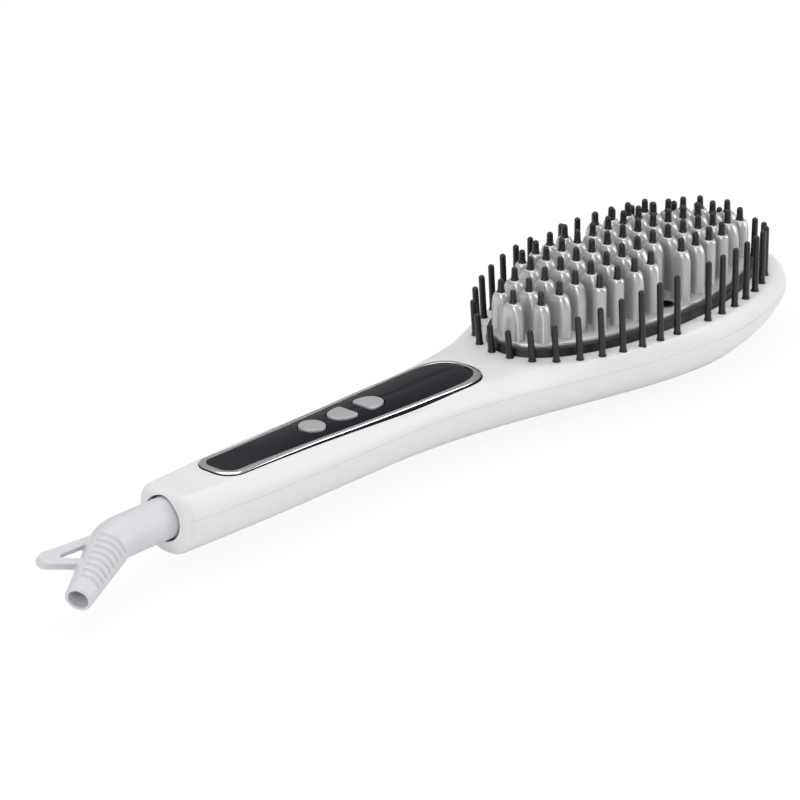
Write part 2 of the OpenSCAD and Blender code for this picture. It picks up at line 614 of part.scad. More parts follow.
// Half outline of a tooth that is w wide and h high, with rounded shoulders of height s
function tongue(w, h, s) = let (
    side = [for (a = [0:15:90]) [tip_r + (w / 2 - tip_r) * cos(a), h - s + s * sin(a)]])
    concat([[w / 2, -plate_t / 2]], side, [for (i = [len(side) - 1:-1:0]) [-side[i][0], side[i][1]]],
           [[-w / 2, -plate_t / 2]]);
module stadium(w, t) {
    square([t, w - t], center = true);
    for (s = [-1, 1]) translate([0, s * (w - t) / 2]) circle(t / 2);
}
module tooth(p) translate([p[0], p[1], 0]) {
    h = tooth_top(p);
    s = p[2] > tooth_t + 1 ? p[2] * 0.8 : 1.2;
    intersection() {
        translate([0, 0, -plate_t / 2]) linear_extrude(h + plate_t) stadium(p[2], tooth_t);
        rotate([90, 0, 90]) translate([0, 0, -tooth_t]) linear_extrude(2 * tooth_t)
            polygon(tongue(p[2], h, s));
        rotate([90, 0, 0]) translate([0, 0, -tooth_w]) linear_extrude(2 * tooth_w)
            polygon(tongue(tooth_t, h, min(s, 2.4)));
    }
    rod(0.55, h - 1, h + cap_h * 0.6);
}
outlet_y = outer_row_y;
module heating_plate() color("#b4b6ba") at_plate() difference() {
    union() {
        plate_of(oval(plate_l / 2, plate_w / 2, plate_n), -plate_t, 0);
        for (p = teeth) tooth(p);
        for (p = plate_boss_at) translate([p[0], p[1], 0]) rod(plate_boss_r, tab_top, -plate_t / 2);
        for (x = clamp_screw_x) translate([x, 0, 0]) rod(plate_boss_r, clamp_top, -plate_t / 2);
    }
    for (s = [-1, 1]) translate([0, s * outlet_y, 0]) rod(outlet_bore / 2 + outlet_wall + 0.03, -10, 3);
    for (p = plate_boss_at) translate([p[0], p[1], 0])
        rod(small_screw_d / 2 - thread_bite, tab_top - 1, tab_top + 4.5);
    for (x = clamp_screw_x) translate([x, 0, clamp_top]) rod(small_screw_d / 2 - thread_bite, -1, 3.6);
}
module tooth_caps() color("#1c1c1e") at_plate() for (p = teeth) translate([p[0], p[1], tooth_top(p)])
    rotate_extrude() polygon(concat(
        [[0.6, 0], [tip_r - 0.05, 0], [cap_r, 0.9]],
        [for (a = [0:15:90]) [cap_r * cos(a), cap_h - cap_r + cap_r * sin(a)]],
        [[0, cap_h * 0.65], [0.6, cap_h * 0.65]]));
outlet_wall = 0.6;
insert_depth = 9;
module outlet_inserts() color("#1a1a1b") at_plate() for (s = [-1, 1]) translate([0, s * outlet_y, 0])
    tube(outlet_bore / 2 + outlet_wall, outlet_bore / 2, -insert_depth, 0.25);
module electrode_pins() color("#9a9ca0") at_plate() for (s = [-1, 1]) translate([0, s * outlet_y, 0]) {
    rod(outlet_bore / 2 - 0.03, -insert_depth, -insert_depth + 1.6);
    rod(0.5, -insert_depth + 1, -4);
    translate([0, 0, -4]) cylinder(r1 = 0.5, r2 = 0.12, h = 1.6);
}
film_t = 0.3;
heater_t = 4.2;
heater_half_l = plate_l / 2 - 18.9;
heater_y = [4, plate_w / 2 - 8.8];
heater_top = -plate_t - film_t;
clamp_top = heater_top - heater_t;
clamp_t = 1.2;
clamp_screw_x = [12 - heater_half_l, 0, heater_half_l - 12];
module heater_block(side, z0, z1) translate([0, side > 0 ? heater_y[0] : -heater_y[1], 0])
    block(-heater_half_l, heater_half_l, 0, heater_y[1] - heater_y[0], z0, z1);
module heater_film() color("#c98f3a") at_plate() for (s = [-1, 1]) heater_block(s, heater_top, -plate_t);
module ptc_heaters() color("#aeb0b3") at_plate() for (s = [-1, 1]) heater_block(s, clamp_top, heater_top);
module heater_clamp() color("#9da0a4") at_plate() difference() {
    block(4 - heater_half_l, heater_half_l - 4, 1 - heater_y[1], heater_y[1] - 1,
          clamp_top - clamp_t, clamp_top);
    for (x = clamp_screw_x) translate([x, 0, 0]) rod(small_screw_d / 2 + gap, -20, 0);
}
module clamp_screws() color("#8d9094") at_plate() for (x = clamp_screw_x)
    translate([x, 0, clamp_top - clamp_t]) screw(small_screw_d, 4.4, small_head_r, small_head_h);
shield_t = 0.6;
module heat_shield() color("#d8c9a0") at_plate() difference() {
    plate_of(oval(plate_l / 2 - 5.6, plate_w / 2 - 1.8, bristle_n), ring_bottom - shield_t, ring_bottom);
    for (p = plate_boss_at) translate([p[0], p[1], 0]) rod(small_screw_d / 2 + gap, -20, 0);
}
module plate_screws() color("#8d9094") at_plate() for (p = plate_boss_at)
    translate([p[0], p[1], ring_bottom - shield_t])
        screw(small_screw_d, shield_t + ring_tab_t + 4, small_head_r, small_head_h);
sensor_x = plate_l / 2 - 7.4;
fuse_r = 2;
sensor_r = 1.5;
module thermal_fuse() color("#d7d2c4") at_plate()
    translate([-sensor_x, 0, -plate_t - fuse_r]) rotate([90, 0, 0]) rod(fuse_r, -5, 5);
module temperature_sensor() color("#c2b280") at_plate()
    translate([sensor_x, 0, -plate_t - sensor_r]) rotate([90, 0, 0]) rod(sensor_r, -4, 4);
ioniser_z = -head_depth + wall + 1.8;
ioniser_h = 9.5;
module ioniser_module() color("#e7e4da") at_plate() block(-11, 15, -9, 9, ioniser_z, ioniser_z + ioniser_h);

// ---- Swivel and cord elbow, in the exit's frame
journal_r = 5;
core_r = 3.8;
clip_z = rib_z[0] - 2.9;
wire_bore = 2.2;
module swivel_bush() color("#3d3f43") at_exit() difference() {
    union() {
        rod(bush_neck_r, rib_z[0] - 1.5, rib_z[1] + 1.5);
        rod(bush_r, rib_z[1] + 0.1, rib_z[1] + 1.5);
        rod(bush_r, rib_z[0] - 1.5, rib_z[0] - 0.1);
    }
    rod(journal_r + run_gap, -20, 0);
}
module swivel_spigot() color("#e4e5e7") at_exit() difference() {
    union() {
        rod(journal_r, clip_z - 1.6, 8);
        rod(core_r, clip_z - 9.5, clip_z - 1);
        rod(core_r + 0.5, clip_z - 10.1, clip_z - 9.3);
    }
    tube(journal_r + 1, journal_r - 0.5, clip_z, clip_z + 1);
    rod(wire_bore, -40, 20);
}
module retaining_clip() color("#9da0a4") at_exit()
    tube(bush_r - 0.1, journal_r - 0.45, clip_z + 0.05, clip_z + 0.95);
ring_zs = [clip_z - 3.4, clip_z - 7];
ring_w = 1.6;
slip_r = 4.8;
module slip_rings() color("#c9a24a") at_exit() for (z = ring_zs) tube(slip_r, core_r + 0.03, z - ring_w, z);
carrier_z = -18;
carrier_h = 2.1;
carrier_x = [11.5 - handle_back, 20.4 - handle_back];
carrier_ribs = [carrier_x[0] + 0.6, carrier_x[1] - 2.8];
module contact_carrier() color("#3d3f43") at_plate()
    block(carrier_x[0], carrier_x[1], -4.5, 4.5, carrier_z, carrier_z + carrier_h);
module contact_springs() color("#c9a24a") at_plate() for (z = ring_zs) {
    x = -handle_back - z + ring_w / 2;
    block(x - 0.6, x + 0.6, -3.5, 3.5, carrier_z + carrier_h, carrier_z + carrier_h + 0.35);
    block(x - 0.6, x + 0.6, -0.6, 0.6, carrier_z + carrier_h, -swivel_drop - slip_r - 0.06);
}
bend_r = 15;
bend_run = bend_r * tan(elbow_bend / 2);
elbow_start = rib_z[1] + 1.8;
spigot_grip = 8;
cord_bore_r = cord_d / 2 + 0.1;
relief_run = relief_l - bend_run;
module past_bend() translate([-bend_r, 0, elbow_l - bend_run]) rotate([0, -elbow_bend, 0])
    translate([bend_r, 0, 0]) children();
module bend(r) translate([-bend_r, 0, elbow_l - bend_run]) rotate([90, 0, 0])
    rotate_extrude(angle = elbow_bend) translate([bend_r, 0]) circle(r);
// A round place of the loop: s along the handle's axis past the corner, t towards the bend
module loop_dot(s, t, r) translate([-t, elbow_l + s]) circle(r, $fn = 32);
loop_t = 3.2;
loop_tip = 2.2;
module loop_plate() rotate([90, 0, 0]) translate([0, 0, -loop_t / 2]) linear_extrude(loop_t) difference() {
    hull() {
        loop_dot(5, -1.8, 1.8);
        loop_dot(loop_reach - loop_tip, -2.7, loop_tip);
        loop_dot(loop_reach / 2, 2.7, 1.7);
    }
    hull() {
        loop_dot(loop_reach - 7.4, -1.3, 0.5);
        loop_dot(11, -1.1, 0.5);
        loop_dot(13.7, 1.6, 0.5);
    }
}
slot_start = 0.8;
slot_pitch = 2.35;
slot_w = 1;
slot_deep = 0.7;
slot_arc = 104;
function relief_r(z) = mix(elbow_r, relief_tip_r, z / relief_run);
module cord_elbow() color("#dfe0e4") at_exit() rotate([0, 0, swivel_turn]) difference() {
    union() {
        rod(elbow_r, elbow_start, elbow_l - bend_run);
        bend(elbow_r);
        past_bend() cylinder(r1 = elbow_r, r2 = relief_tip_r, h = relief_run);
        loop_plate();
    }
    rod(journal_r + 0.02, elbow_start - 1, spigot_grip);
    rod(cord_bore_r, elbow_start, elbow_l - bend_run);
    bend(cord_bore_r);
    past_bend() {
        rod(cord_bore_r, 0, relief_run + 1);
        for (i = [0:relief_slots - 1], side = [-1, 1]) let (z = slot_start + i * slot_pitch)
            rotate([0, 0, side * 90 - slot_arc / 2]) translate([0, 0, z]) rotate_extrude(angle = slot_arc)
                translate([relief_r(z) - slot_deep, 0]) square([3, slot_w]);
    }
}

// ---- Leads inside the casing, each a round tube swept along its points
lead_r = 0.7;
lead_sides = 12;
function unit(v) = v / norm(v);
function lead_ring(points, k) = let (
    last = len(points) - 1, a = unit(points[max(1, k)] - points[max(1, k) - 1]),
    b = k < last ? unit(points[k + 1] - points[k]) : a,
    d = unit(a + b), e = unit(cross(d, [0, 1, 0])), g = cross(d, e))
    [for (j = [0:lead_sides - 1]) let (t = 360 * j / lead_sides)
        points[k] + lead_r * (cos(t) * e + sin(t) * g)];
module lead(points) {
    n = len(points);
    m = lead_sides;
    polyhedron([for (k = [0:n - 1]) each lead_ring(points, k)], concat(
        [[for (j = [0:m - 1]) j], [for (j = [m - 1:-1:0]) (n - 1) * m + j]],
        [for (i = [0:n - 2], j = [0:m - 1]) let (p = i * m + j, q = i * m + (j + 1) % m)
            each [[p, p + m, q + m], [p, q + m, q]]]));
}
board_under = board_top - board_t;
function under_board(x) = -panel_drop + board_under - (x - panel_x) * sin(panel_tilt) - 0.12;
lead_bore_z = -16.9; // under the contact carrier's top
lead_up_x = panel_x - board_back_l + 3;
module mains_leads() color("#a33a32") at_plate() for (s = [-1, 1])
    lead([[carrier_x[1], 0.9 * s, lead_bore_z], [lead_up_x - 4, 0.9 * s, lead_bore_z],
          [lead_up_x - 0.6, 1.6 * s, lead_bore_z + 1.3], [lead_up_x, 2 * s, lead_bore_z + 3.5],
          [lead_up_x, 2 * s, under_board(lead_up_x)]]);
lead_down_x = panel_x + board_front_l - 3;
fuse_back_x = -sensor_x - fuse_r;
module heater_leads() color("#c8c4ba") at_plate() for (s = [-1, 1])
    lead([[lead_down_x, 4 * s, under_board(lead_down_x) - 0.02], [lead_down_x + 0.4, 4 * s, -13],
          [lead_down_x + 2, 4 * s, -14], [lead_down_x + 6, 4 * s, -14.2], [fuse_back_x - 4, 3 * s, -14.2],
          [fuse_back_x - 1.7, 3 * s, -13.6], [fuse_back_x - 1, 3 * s, -12], [fuse_back_x - 1, 3 * s, -10.4],
          [fuse_back_x - 0.2, 3 * s, -9.1], [fuse_back_x + 1.5, 3 * s, -8.6],
          [-plate_boss_x - 1, (plate_boss_y - 5.8) * s, -8.4],
          [-plate_boss_x + 2.5, (plate_boss_y - 5.2) * s, -7.2],
          [-heater_half_l - 0.6, heater_y[0] * 1.4 * s, clamp_top + 2]]);

upper_casing();
lower_casing();
insulating_ring();
heating_plate();
tooth_caps();
near_bristle_comb();
far_bristle_comb();
outlet_inserts();
electrode_pins();
ptc_heaters();
heater_film();
heater_clamp();
clamp_screws();
plate_screws();
heat_shield();
thermal_fuse();
temperature_sensor();
ioniser_module();
ring_screws();
control_board();
board_screws();
tact_switches();
lcd_module();
board_components();
panel_bezel();
display_lens();
power_button();
minus_button();
plus_button();
swivel_bush();
swivel_spigot();
retaining_clip();
slip_rings();
contact_carrier();
contact_springs();
cord_elbow();
mains_leads();
heater_leads();
casing_screws();
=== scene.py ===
# %% [markdown]
# # A heated straightening brush, from bare solids to a studio picture
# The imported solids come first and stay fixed: they are the frame that everything is fitted to.
# Each later cell takes one piece or one finish of the brush, says what it is on the real one,
# and builds it at the place that the solids give. Lengths are written in millimetres, measured
# from the middle of the heated plate's face, and turned into metres in one helper.

# %% Load the frame
import json
import math
import bmesh
import bpy
from mathutils import Matrix, Vector


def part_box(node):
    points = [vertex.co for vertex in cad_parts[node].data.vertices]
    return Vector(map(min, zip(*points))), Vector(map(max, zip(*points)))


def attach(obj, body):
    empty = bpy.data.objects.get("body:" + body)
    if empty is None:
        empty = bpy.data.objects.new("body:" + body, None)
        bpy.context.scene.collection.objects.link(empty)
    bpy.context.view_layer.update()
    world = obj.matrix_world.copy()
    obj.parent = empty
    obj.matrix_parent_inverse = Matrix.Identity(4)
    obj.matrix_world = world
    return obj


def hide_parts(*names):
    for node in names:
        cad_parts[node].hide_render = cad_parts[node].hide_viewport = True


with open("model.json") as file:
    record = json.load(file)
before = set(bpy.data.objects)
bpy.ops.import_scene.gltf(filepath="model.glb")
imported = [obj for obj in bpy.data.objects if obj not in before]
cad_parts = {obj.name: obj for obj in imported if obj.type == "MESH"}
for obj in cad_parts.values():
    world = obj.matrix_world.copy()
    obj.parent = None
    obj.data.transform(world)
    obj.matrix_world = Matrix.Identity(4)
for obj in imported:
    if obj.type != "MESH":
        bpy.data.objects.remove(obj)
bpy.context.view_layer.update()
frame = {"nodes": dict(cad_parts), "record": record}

# %% [markdown]
# ## Helpers that every piece uses
# Blender's operators act on whatever is selected, so one helper selects a single object and
# nothing else. Another turns millimetres at the plate into metres in the frame. A finished
# piece is named, shaded smooth up to a chosen angle, given its material, and set to ride on
# the body that carries it.

# %% Units, selection and finishing
MM = 0.001
PLATE_FACE = 27.6  # mm from the floor to the plate's face
plate_low, plate_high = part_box("heating_plate")
PLATE_MIDDLE = Vector(((plate_low.x + plate_high.x) / 2, 0.0, PLATE_FACE * MM))
print("middle of the plate's face:", [round(v, 4) for v in PLATE_MIDDLE])


def place(x, y, z):
    return Vector((x, y, z)) * MM + PLATE_MIDDLE


def only(obj):
    bpy.ops.object.select_all(action="DESELECT")
    obj.select_set(True)
    bpy.context.view_layer.objects.active = obj
    return obj


def settle(obj, matrix=None):
    """Puts the object's place into its mesh, after an optional turn and shift."""
    obj.data.transform((matrix or Matrix.Identity(4)) @ obj.matrix_basis)
    obj.matrix_basis = Matrix.Identity(4)
    obj.data.update()
    return obj


def tidy_faces(obj):
    only(obj)
    bpy.ops.object.mode_set(mode="EDIT")
    bpy.ops.mesh.select_all(action="SELECT")
    bpy.ops.mesh.remove_doubles(threshold=0.000001)
    bpy.ops.mesh.normals_make_consistent(inside=False)
    bpy.ops.object.mode_set(mode="OBJECT")
    return obj


def join(objects):
    bpy.ops.object.select_all(action="DESELECT")
    for o in objects:
        o.select_set(True)
    bpy.context.view_layer.objects.active = objects[0]
    bpy.ops.object.join()
    return bpy.context.object


def cut(obj, cutter, operation="DIFFERENCE"):
    only(obj)
    mod = obj.modifiers.new("cut", "BOOLEAN")
    mod.operation = operation
    mod.solver = "EXACT"
    mod.object = cutter
    bpy.ops.object.modifier_apply(modifier=mod.name)
    bpy.data.objects.remove(cutter)
    return obj


def done(obj, name, body, material, stands_for=(), smooth=40):
    only(obj)
    obj.name = name
    obj.data.name = name
    obj.data.materials.clear()
    obj.data.materials.append(material)
    bpy.ops.object.shade_smooth_by_angle(angle=math.radians(smooth))
    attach(obj, body)
    if stands_for:
        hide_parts(*stands_for)
    loose = sum(1 for e in edge_uses(obj) if e != 2)
    print(name, "faces", len(obj.data.polygons), "open edges", loose)
    return obj


def edge_uses(obj):
    mesh = bmesh.new()
    mesh.from_mesh(obj.data)
    uses = [len(e.link_faces) for e in mesh.edges]
    mesh.free()
    return uses


# %% [markdown]
# ## Two ways to raise a shape
# A *tower* is how teeth, caps, pins and buttons are made by hand: a flat ring is extruded up
# step by step and scaled at each step. A *net* is for surfaces that change their section all
# along, such as the casing: a grid of quads has each of its rows laid on one section, the way
# planks are laid over a boat's ribs.

# %% Tower and net
def tower(outline, steps):
    """outline: (x, y) of the ring in mm. steps: (z, scale of x, scale of y), from the bottom up."""
    bpy.ops.mesh.primitive_circle_add(vertices=len(outline), radius=MM, fill_type="NGON")
    obj = bpy.context.object
    z, kx, ky = steps[0]
    for vertex, (x, y) in zip(obj.data.vertices, outline):
        vertex.co = (x * kx * MM, y * ky * MM, z * MM)
    bpy.ops.object.mode_set(mode="EDIT")
    bpy.ops.mesh.select_all(action="SELECT")
    for (z0, x0, y0), (z1, x1, y1) in zip(steps, steps[1:]):
        bpy.ops.mesh.extrude_region_move(TRANSFORM_OT_translate={"value": (0, 0, (z1 - z0) * MM)})
        bpy.ops.transform.resize(value=(x1 / x0, y1 / y0, 1), center_override=(0, 0, z1 * MM))
    bpy.ops.object.mode_set(mode="OBJECT")
    return tidy_faces(obj)


def net(rows, ring=False, fill=True):
    """rows: sections of equal length, as (x, y, z) in mm at the plate."""
    if ring:
        rows = [list(r) + [r[0]] for r in rows]
    m, n = len(rows[0]), len(rows)
    bpy.ops.mesh.primitive_grid_add(x_subdivisions=m - 1, y_subdivisions=n - 1, size=MM)
    obj = bpy.context.object
    for i, row in enumerate(rows):
        for k, p in enumerate(row):
            obj.data.vertices[i * m + k].co = place(*p)
    if fill:
        for i in (0, n - 1):
            only(obj)
            bpy.ops.object.mode_set(mode="EDIT")
            bpy.ops.mesh.select_mode(type="VERT")
            bpy.ops.mesh.select_all(action="DESELECT")
            bpy.ops.object.mode_set(mode="OBJECT")
            for k in range(m):
                obj.data.vertices[i * m + k].select = True
            bpy.ops.object.mode_set(mode="EDIT")
            bpy.ops.mesh.edge_face_add()
            bpy.ops.object.mode_set(mode="OBJECT")
    return tidy_faces(obj) if ring else obj


def circle(r, sides):
    angles = [2 * math.pi * i / sides for i in range(sides)]
    return [(r * math.cos(a), r * math.sin(a)) for a in angles]


def oval_point(a, b, n, angle):
    """A point of an oval with half axes a and b: an ellipse for n = 2, and squarer above that."""
    c, s = math.cos(angle), math.sin(angle)
    return (a * math.copysign(abs(c) ** (2 / n), c), b * math.copysign(abs(s) ** (2 / n), s))


def oval(a, b, n, sides=144):
    return [oval_point(a, b, n, 2 * math.pi * i / sides) for i in range(sides)]


print("an ellipse of 2 by 1 at 45 degrees:", [round(v, 2) for v in oval_point(2, 1, 2, math.pi / 4)])


# %% [markdown]
# ## The camera
# The picture was taken with a long lens from the handle's side, 23 degrees above the surface.
# The place below was solved from the outlines of the casing and the rows of teeth, so that the
# brush falls within a few pixels of the photograph's, and the lens needs no shift.

# %% Camera
azimuth, elevation, roll = (math.radians(v) for v in (-47.3906, 22.8337, -0.6303))
DISTANCE, RIGHTWARD, UPWARD = 1555.632, -71.954, -35.438  # mm, from the middle of the plate's face
FOCAL_PIXELS, IMAGE_PIXELS, SENSOR_WIDTH = 4805.25, 800, 36
back = Vector((math.sin(azimuth) * math.cos(elevation), -math.cos(azimuth) * math.cos(elevation),
               math.sin(elevation)))
side = Vector((math.cos(azimuth), math.sin(azimuth), 0))
up = back.cross(side)
right = side * math.cos(roll) + up * math.sin(roll)
top = up * math.cos(roll) - side * math.sin(roll)
eye = back * DISTANCE + right * RIGHTWARD + top * UPWARD
lens_data = bpy.data.cameras.new("camera")
lens_data.sensor_width = SENSOR_WIDTH
lens_data.lens = FOCAL_PIXELS / IMAGE_PIXELS * SENSOR_WIDTH
lens_data.clip_end = 50
camera = bpy.data.objects.new("camera", lens_data)
bpy.context.scene.collection.objects.link(camera)
turn = Matrix((right, top, back)).transposed().to_4x4()
camera.matrix_world = Matrix.Translation(place(*eye)) @ turn
bpy.context.scene.camera = camera
print("camera", [round(v, 3) for v in camera.location], "lens", round(lens_data.lens, 1))

# %% [markdown]
# ## Finishes
# Moulded plastic is never one flat colour: its tone drifts a little, its gloss varies where it
# has been handled, and light shows a very fine ripple in the skin. Each finish below is a
# Principled shader whose colour, roughness and bump come from noise in object coordinates, so
# the pattern stays on the piece when the camera moves. Scales are in repeats per metre. One
# function makes them all, because they differ only in their numbers.

# %% Finish helper
def finish(name, colour, rough, metal=0.0, drift=0.06, drift_scale=60, grain=0.0, grain_scale=2500,
           bump=0.02, bump_scale=900, **sockets):
    """colour: linear RGB. drift: share of tone that wanders. grain: share of fine speckle.
    Noise lies mostly between 0.3 and 0.7, so spread() stretches that range over low to high."""
    mat = bpy.data.materials.new(name)
    mat.use_nodes = True
    nodes, links = mat.node_tree.nodes, mat.node_tree.links
    shader = nodes["Principled BSDF"]
    where = nodes.new("ShaderNodeTexCoord")

    def noise(scale, detail):
        n = nodes.new("ShaderNodeTexNoise")
        n.inputs["Scale"].default_value = scale
        n.inputs["Detail"].default_value = detail
        links.new(where.outputs["Object"], n.inputs["Vector"])
        return n.outputs["Fac"]

    def spread(source, low, high):
        r = nodes.new("ShaderNodeMapRange")
        r.inputs["From Min"].default_value = 0.3
        r.inputs["From Max"].default_value = 0.7
        r.inputs["To Min"].default_value = low
        r.inputs["To Max"].default_value = high
        links.new(source, r.inputs["Value"])
        return r.outputs["Result"]

    wander = noise(drift_scale, 3)
    tone = spread(wander, 1 - drift, 1 + drift)
    if grain:
        multiply = nodes.new("ShaderNodeMath")
        multiply.operation = "MULTIPLY"
        links.new(tone, multiply.inputs[0])
        links.new(spread(noise(grain_scale, 1), 1 - grain, 1 + grain), multiply.inputs[1])
        tone = multiply.outputs[0]
    tint = nodes.new("ShaderNodeVectorMath")
    tint.operation = "SCALE"
    tint.inputs[0].default_value = colour
    links.new(tone, tint.inputs["Scale"])
    links.new(tint.outputs["Vector"], shader.inputs["Base Color"])
    links.new(spread(wander, rough * 0.9, rough * 1.1), shader.inputs["Roughness"])
    ripple = nodes.new("ShaderNodeBump")
    ripple.inputs["Strength"].default_value = bump
    ripple.inputs["Distance"].default_value = 0.0002
    links.new(noise(bump_scale, 2), ripple.inputs["Height"])
    links.new(ripple.outputs["Normal"], shader.inputs["Normal"])
    shader.inputs["Metallic"].default_value = metal
    for socket, value in sockets.items():
        shader.inputs[socket.replace("_", " ")].default_value = value
    return mat


# %% [markdown]
# ### Which finish goes where
# The casing is a pale grey gloss plastic. The plate and its teeth carry a silver metallic
# paint. Pins, caps and the ring are black plastic with a satin skin. The panel is black and
# polished, with a chromed rim and silver buttons of fine grain; a near-black band without gloss
# under the rim is painted shade for the undercut there. The cord elbow is a softer, slightly
# bluish plastic. What lies inside gets the finish of its own kind as well.

# %% Finishes of the brush
finishes = {
    "casing": finish("pale_gloss_casing", (0.665, 0.665, 0.668), 0.5, drift=0.012, bump=0.03),
    "elbow_white": finish("soft_bluish_elbow", (0.555, 0.56, 0.585), 0.5, drift=0.02, bump=0.06),
    "plate_metal": finish("silver_metallic_paint", (0.57, 0.565, 0.56), 0.36, metal=0.65, drift=0.05,
                          grain=0.1, grain_scale=4000, bump=0.05, bump_scale=3000),
    "cap_black": finish("black_satin_caps", (0.008, 0.008, 0.009), 0.3, drift=0.2, bump=0.15,
                        bump_scale=1500),
    "bristle_black": finish("black_satin_pins", (0.008, 0.007, 0.008), 0.3, drift=0.2, bump=0.1,
                            bump_scale=1200),
    "ring_black": finish("black_ring", (0.008, 0.008, 0.009), 0.4, drift=0.2, bump=0.1, bump_scale=1500),
    "insert_black": finish("black_sleeves", (0.008, 0.008, 0.009), 0.5, drift=0.2),
    "lens_black": finish("polished_black_panel", (0.005, 0.005, 0.010), 0.07, drift=0.1, bump=0.003,
                         bump_scale=120, Specular_IOR_Level=0.1),
    "bezel_chrome": finish("chromed_rim", (0.62, 0.62, 0.63), 0.2, metal=1.0, drift=0.02, bump=0.01),
    # painted shade: near-black with almost no gloss, standing in for the shade in the undercut under the
    # panel's rim
    "undercut_painted_shade_black": finish("painted_undercut_shade", (0.003, 0.003, 0.003), 0.6, drift=0.2, Specular_IOR_Level=0.08),
    "button_silver": finish("fine_grained_silver", (0.40, 0.395, 0.41), 0.45, metal=0.35, drift=0.03,
                            grain=0.12, grain_scale=5000, bump=0.1, bump_scale=5000),
    "pin_steel": finish("polished_pins", (0.55, 0.55, 0.56), 0.25, metal=1.0),
    "heater_metal": finish("heater_alloy", (0.6, 0.6, 0.6), 0.4, metal=1.0, grain=0.08),
    "film_amber": finish("amber_film", (0.45, 0.15, 0.02), 0.2, drift=0.05),
    "sheet_steel": finish("bright_sheet_steel", (0.5, 0.5, 0.51), 0.3, metal=1.0, grain=0.05),
    "screw_steel": finish("zinc_screws", (0.48, 0.48, 0.5), 0.32, metal=1.0, grain=0.05),
    "shield_board": finish("pressed_mica", (0.5, 0.4, 0.22), 0.6, drift=0.15, grain=0.25),
    "fuse_cream": finish("glazed_ceramic", (0.6, 0.55, 0.45), 0.3, drift=0.04),
    "potting_white": finish("cast_resin", (0.65, 0.63, 0.58), 0.45, drift=0.05),
    "board_green": finish("solder_mask", (0.02, 0.13, 0.05), 0.35, drift=0.1, grain=0.1),
    "component_dark": finish("moulded_components", (0.02, 0.022, 0.026), 0.5, grain=0.2),
    "display_grey": finish("display_glass", (0.03, 0.033, 0.04), 0.1),
    "bush_dark": finish("acetal_bush", (0.04, 0.042, 0.046), 0.35, drift=0.1),
    "spigot_white": finish("acetal_spigot", (0.68, 0.69, 0.71), 0.35, drift=0.03),
    "contact_brass": finish("brass_contacts", (0.6, 0.4, 0.12), 0.25, metal=1.0, drift=0.08),
    "lead_red": finish("red_lead_skin", (0.35, 0.02, 0.015), 0.4, drift=0.05),
    "lead_white": finish("white_lead_skin", (0.6, 0.58, 0.53), 0.4, drift=0.05),
}
for part in frame["record"]["subparts"]:
    node = frame["nodes"][part["node"]]
    node.data.materials.clear()
    node.data.materials.append(finishes[part["material_slot"]])
print("finishes:", len(finishes))

# %% [markdown]
# ## The casing's curves
# The casing is two thin shells that meet on a gently dropping line. Each section of the upper
# one has a flat deck and round shoulders, and each section of the lower one is a round belly.
# The curves are the same as the solid's, so the finished skin lies exactly where the solid
# does. Here they are only drawn with many more sections, for a skin without facets.

# %% Curves
HANDLE_END, CASING_LENGTH = -211.4, 283.4  # x of the handle's end face, and from there to the tip
WIDEST, NECK = 6.5, 128  # x of the head's widest place, and how far it narrows into the handle
HEAD_HALF = 35.2
GRIP_WIDTH, END_WIDTH, GRIP_TAPER = 29, 22, 62  # the handle, its end, and the length between them
PAST_TIP = 72.12  # a hair past the tip, so that the last section keeps a small size
END_ROUND_START, END_ROUND_LENGTH = -207.2, 4.32
PARTING_HANDLE, PARTING_HEAD = 7.8, 9.8  # how deep the parting line lies
PANEL_X, PANEL_Z, PANEL_TILT = -131, -1.2, math.radians(0.9)
DECK_Z, DECK_UNDER_PANEL = -3.9, 0.8
NECK_FRONT, NECK_DIP = -58, 40  # where the deck has reached the head's level, and over what length
FLAT_SHARE, HEAD_FLAT_HALF, HEAD_FLAT_REACH = 0.62, 32.4, 61.2  # the flat part of the deck
DECK_OVAL, SHOULDER_OVAL, BELLY_OVAL = 2.25, 1.8, 2.2  # exponents, as in oval_point
DEEPEST, BELLY_RUN = 12.5, 178  # x of the belly's deepest place, and how far it thins from there
BELLY_HANDLE, BELLY_HEAD = 13.5, 17.8
WALL = 1.8


def clamp01(t):
    return max(0.0, min(1.0, t))


def mix(a, b, t):
    return a + (b - a) * t


def ease(x, start, length, power=1.0):
    return 0.5 * (1 + math.cos(math.pi * clamp01((start - x) / length) ** power))


def round_off(t, n):
    return max(0.0, 1 - clamp01(t) ** n) ** (1 / n)


def tip_round(x, start, n):
    return round_off((x - start) / (PAST_TIP - start), n) if x > start else 1.0


def end_round(x):
    return round_off((END_ROUND_START - x) / END_ROUND_LENGTH, 2.8)


def half_base(x):
    """Half the width, before the ends are rounded."""
    grip = mix(END_WIDTH, GRIP_WIDTH, 1 - (1 - clamp01((x - HANDLE_END) / GRIP_TAPER)) ** 2) / 2
    return mix(grip, HEAD_HALF, ease(x, WIDEST, NECK, 0.88))


def part_z(x):
    return -mix(PARTING_HANDLE, PARTING_HEAD, ease(x, WIDEST, NECK))


def deck_z(x):
    panel = PANEL_Z - (x - PANEL_X) * math.tan(PANEL_TILT) - DECK_UNDER_PANEL
    return mix(panel, DECK_Z, ease(x, NECK_FRONT, NECK_DIP))


def plan(x):
    return tip_round(x, WIDEST, 2) * end_round(x)


def deck_half(x):
    """Half the deck's flat width: the larger of two curves, with a soft change between them."""
    flat = FLAT_SHARE * half_base(x) * plan(x)
    wide = HEAD_FLAT_HALF * round_off(abs(x) / HEAD_FLAT_REACH, DECK_OVAL)
    return (flat ** 6 + wide ** 6) ** (1 / 6)


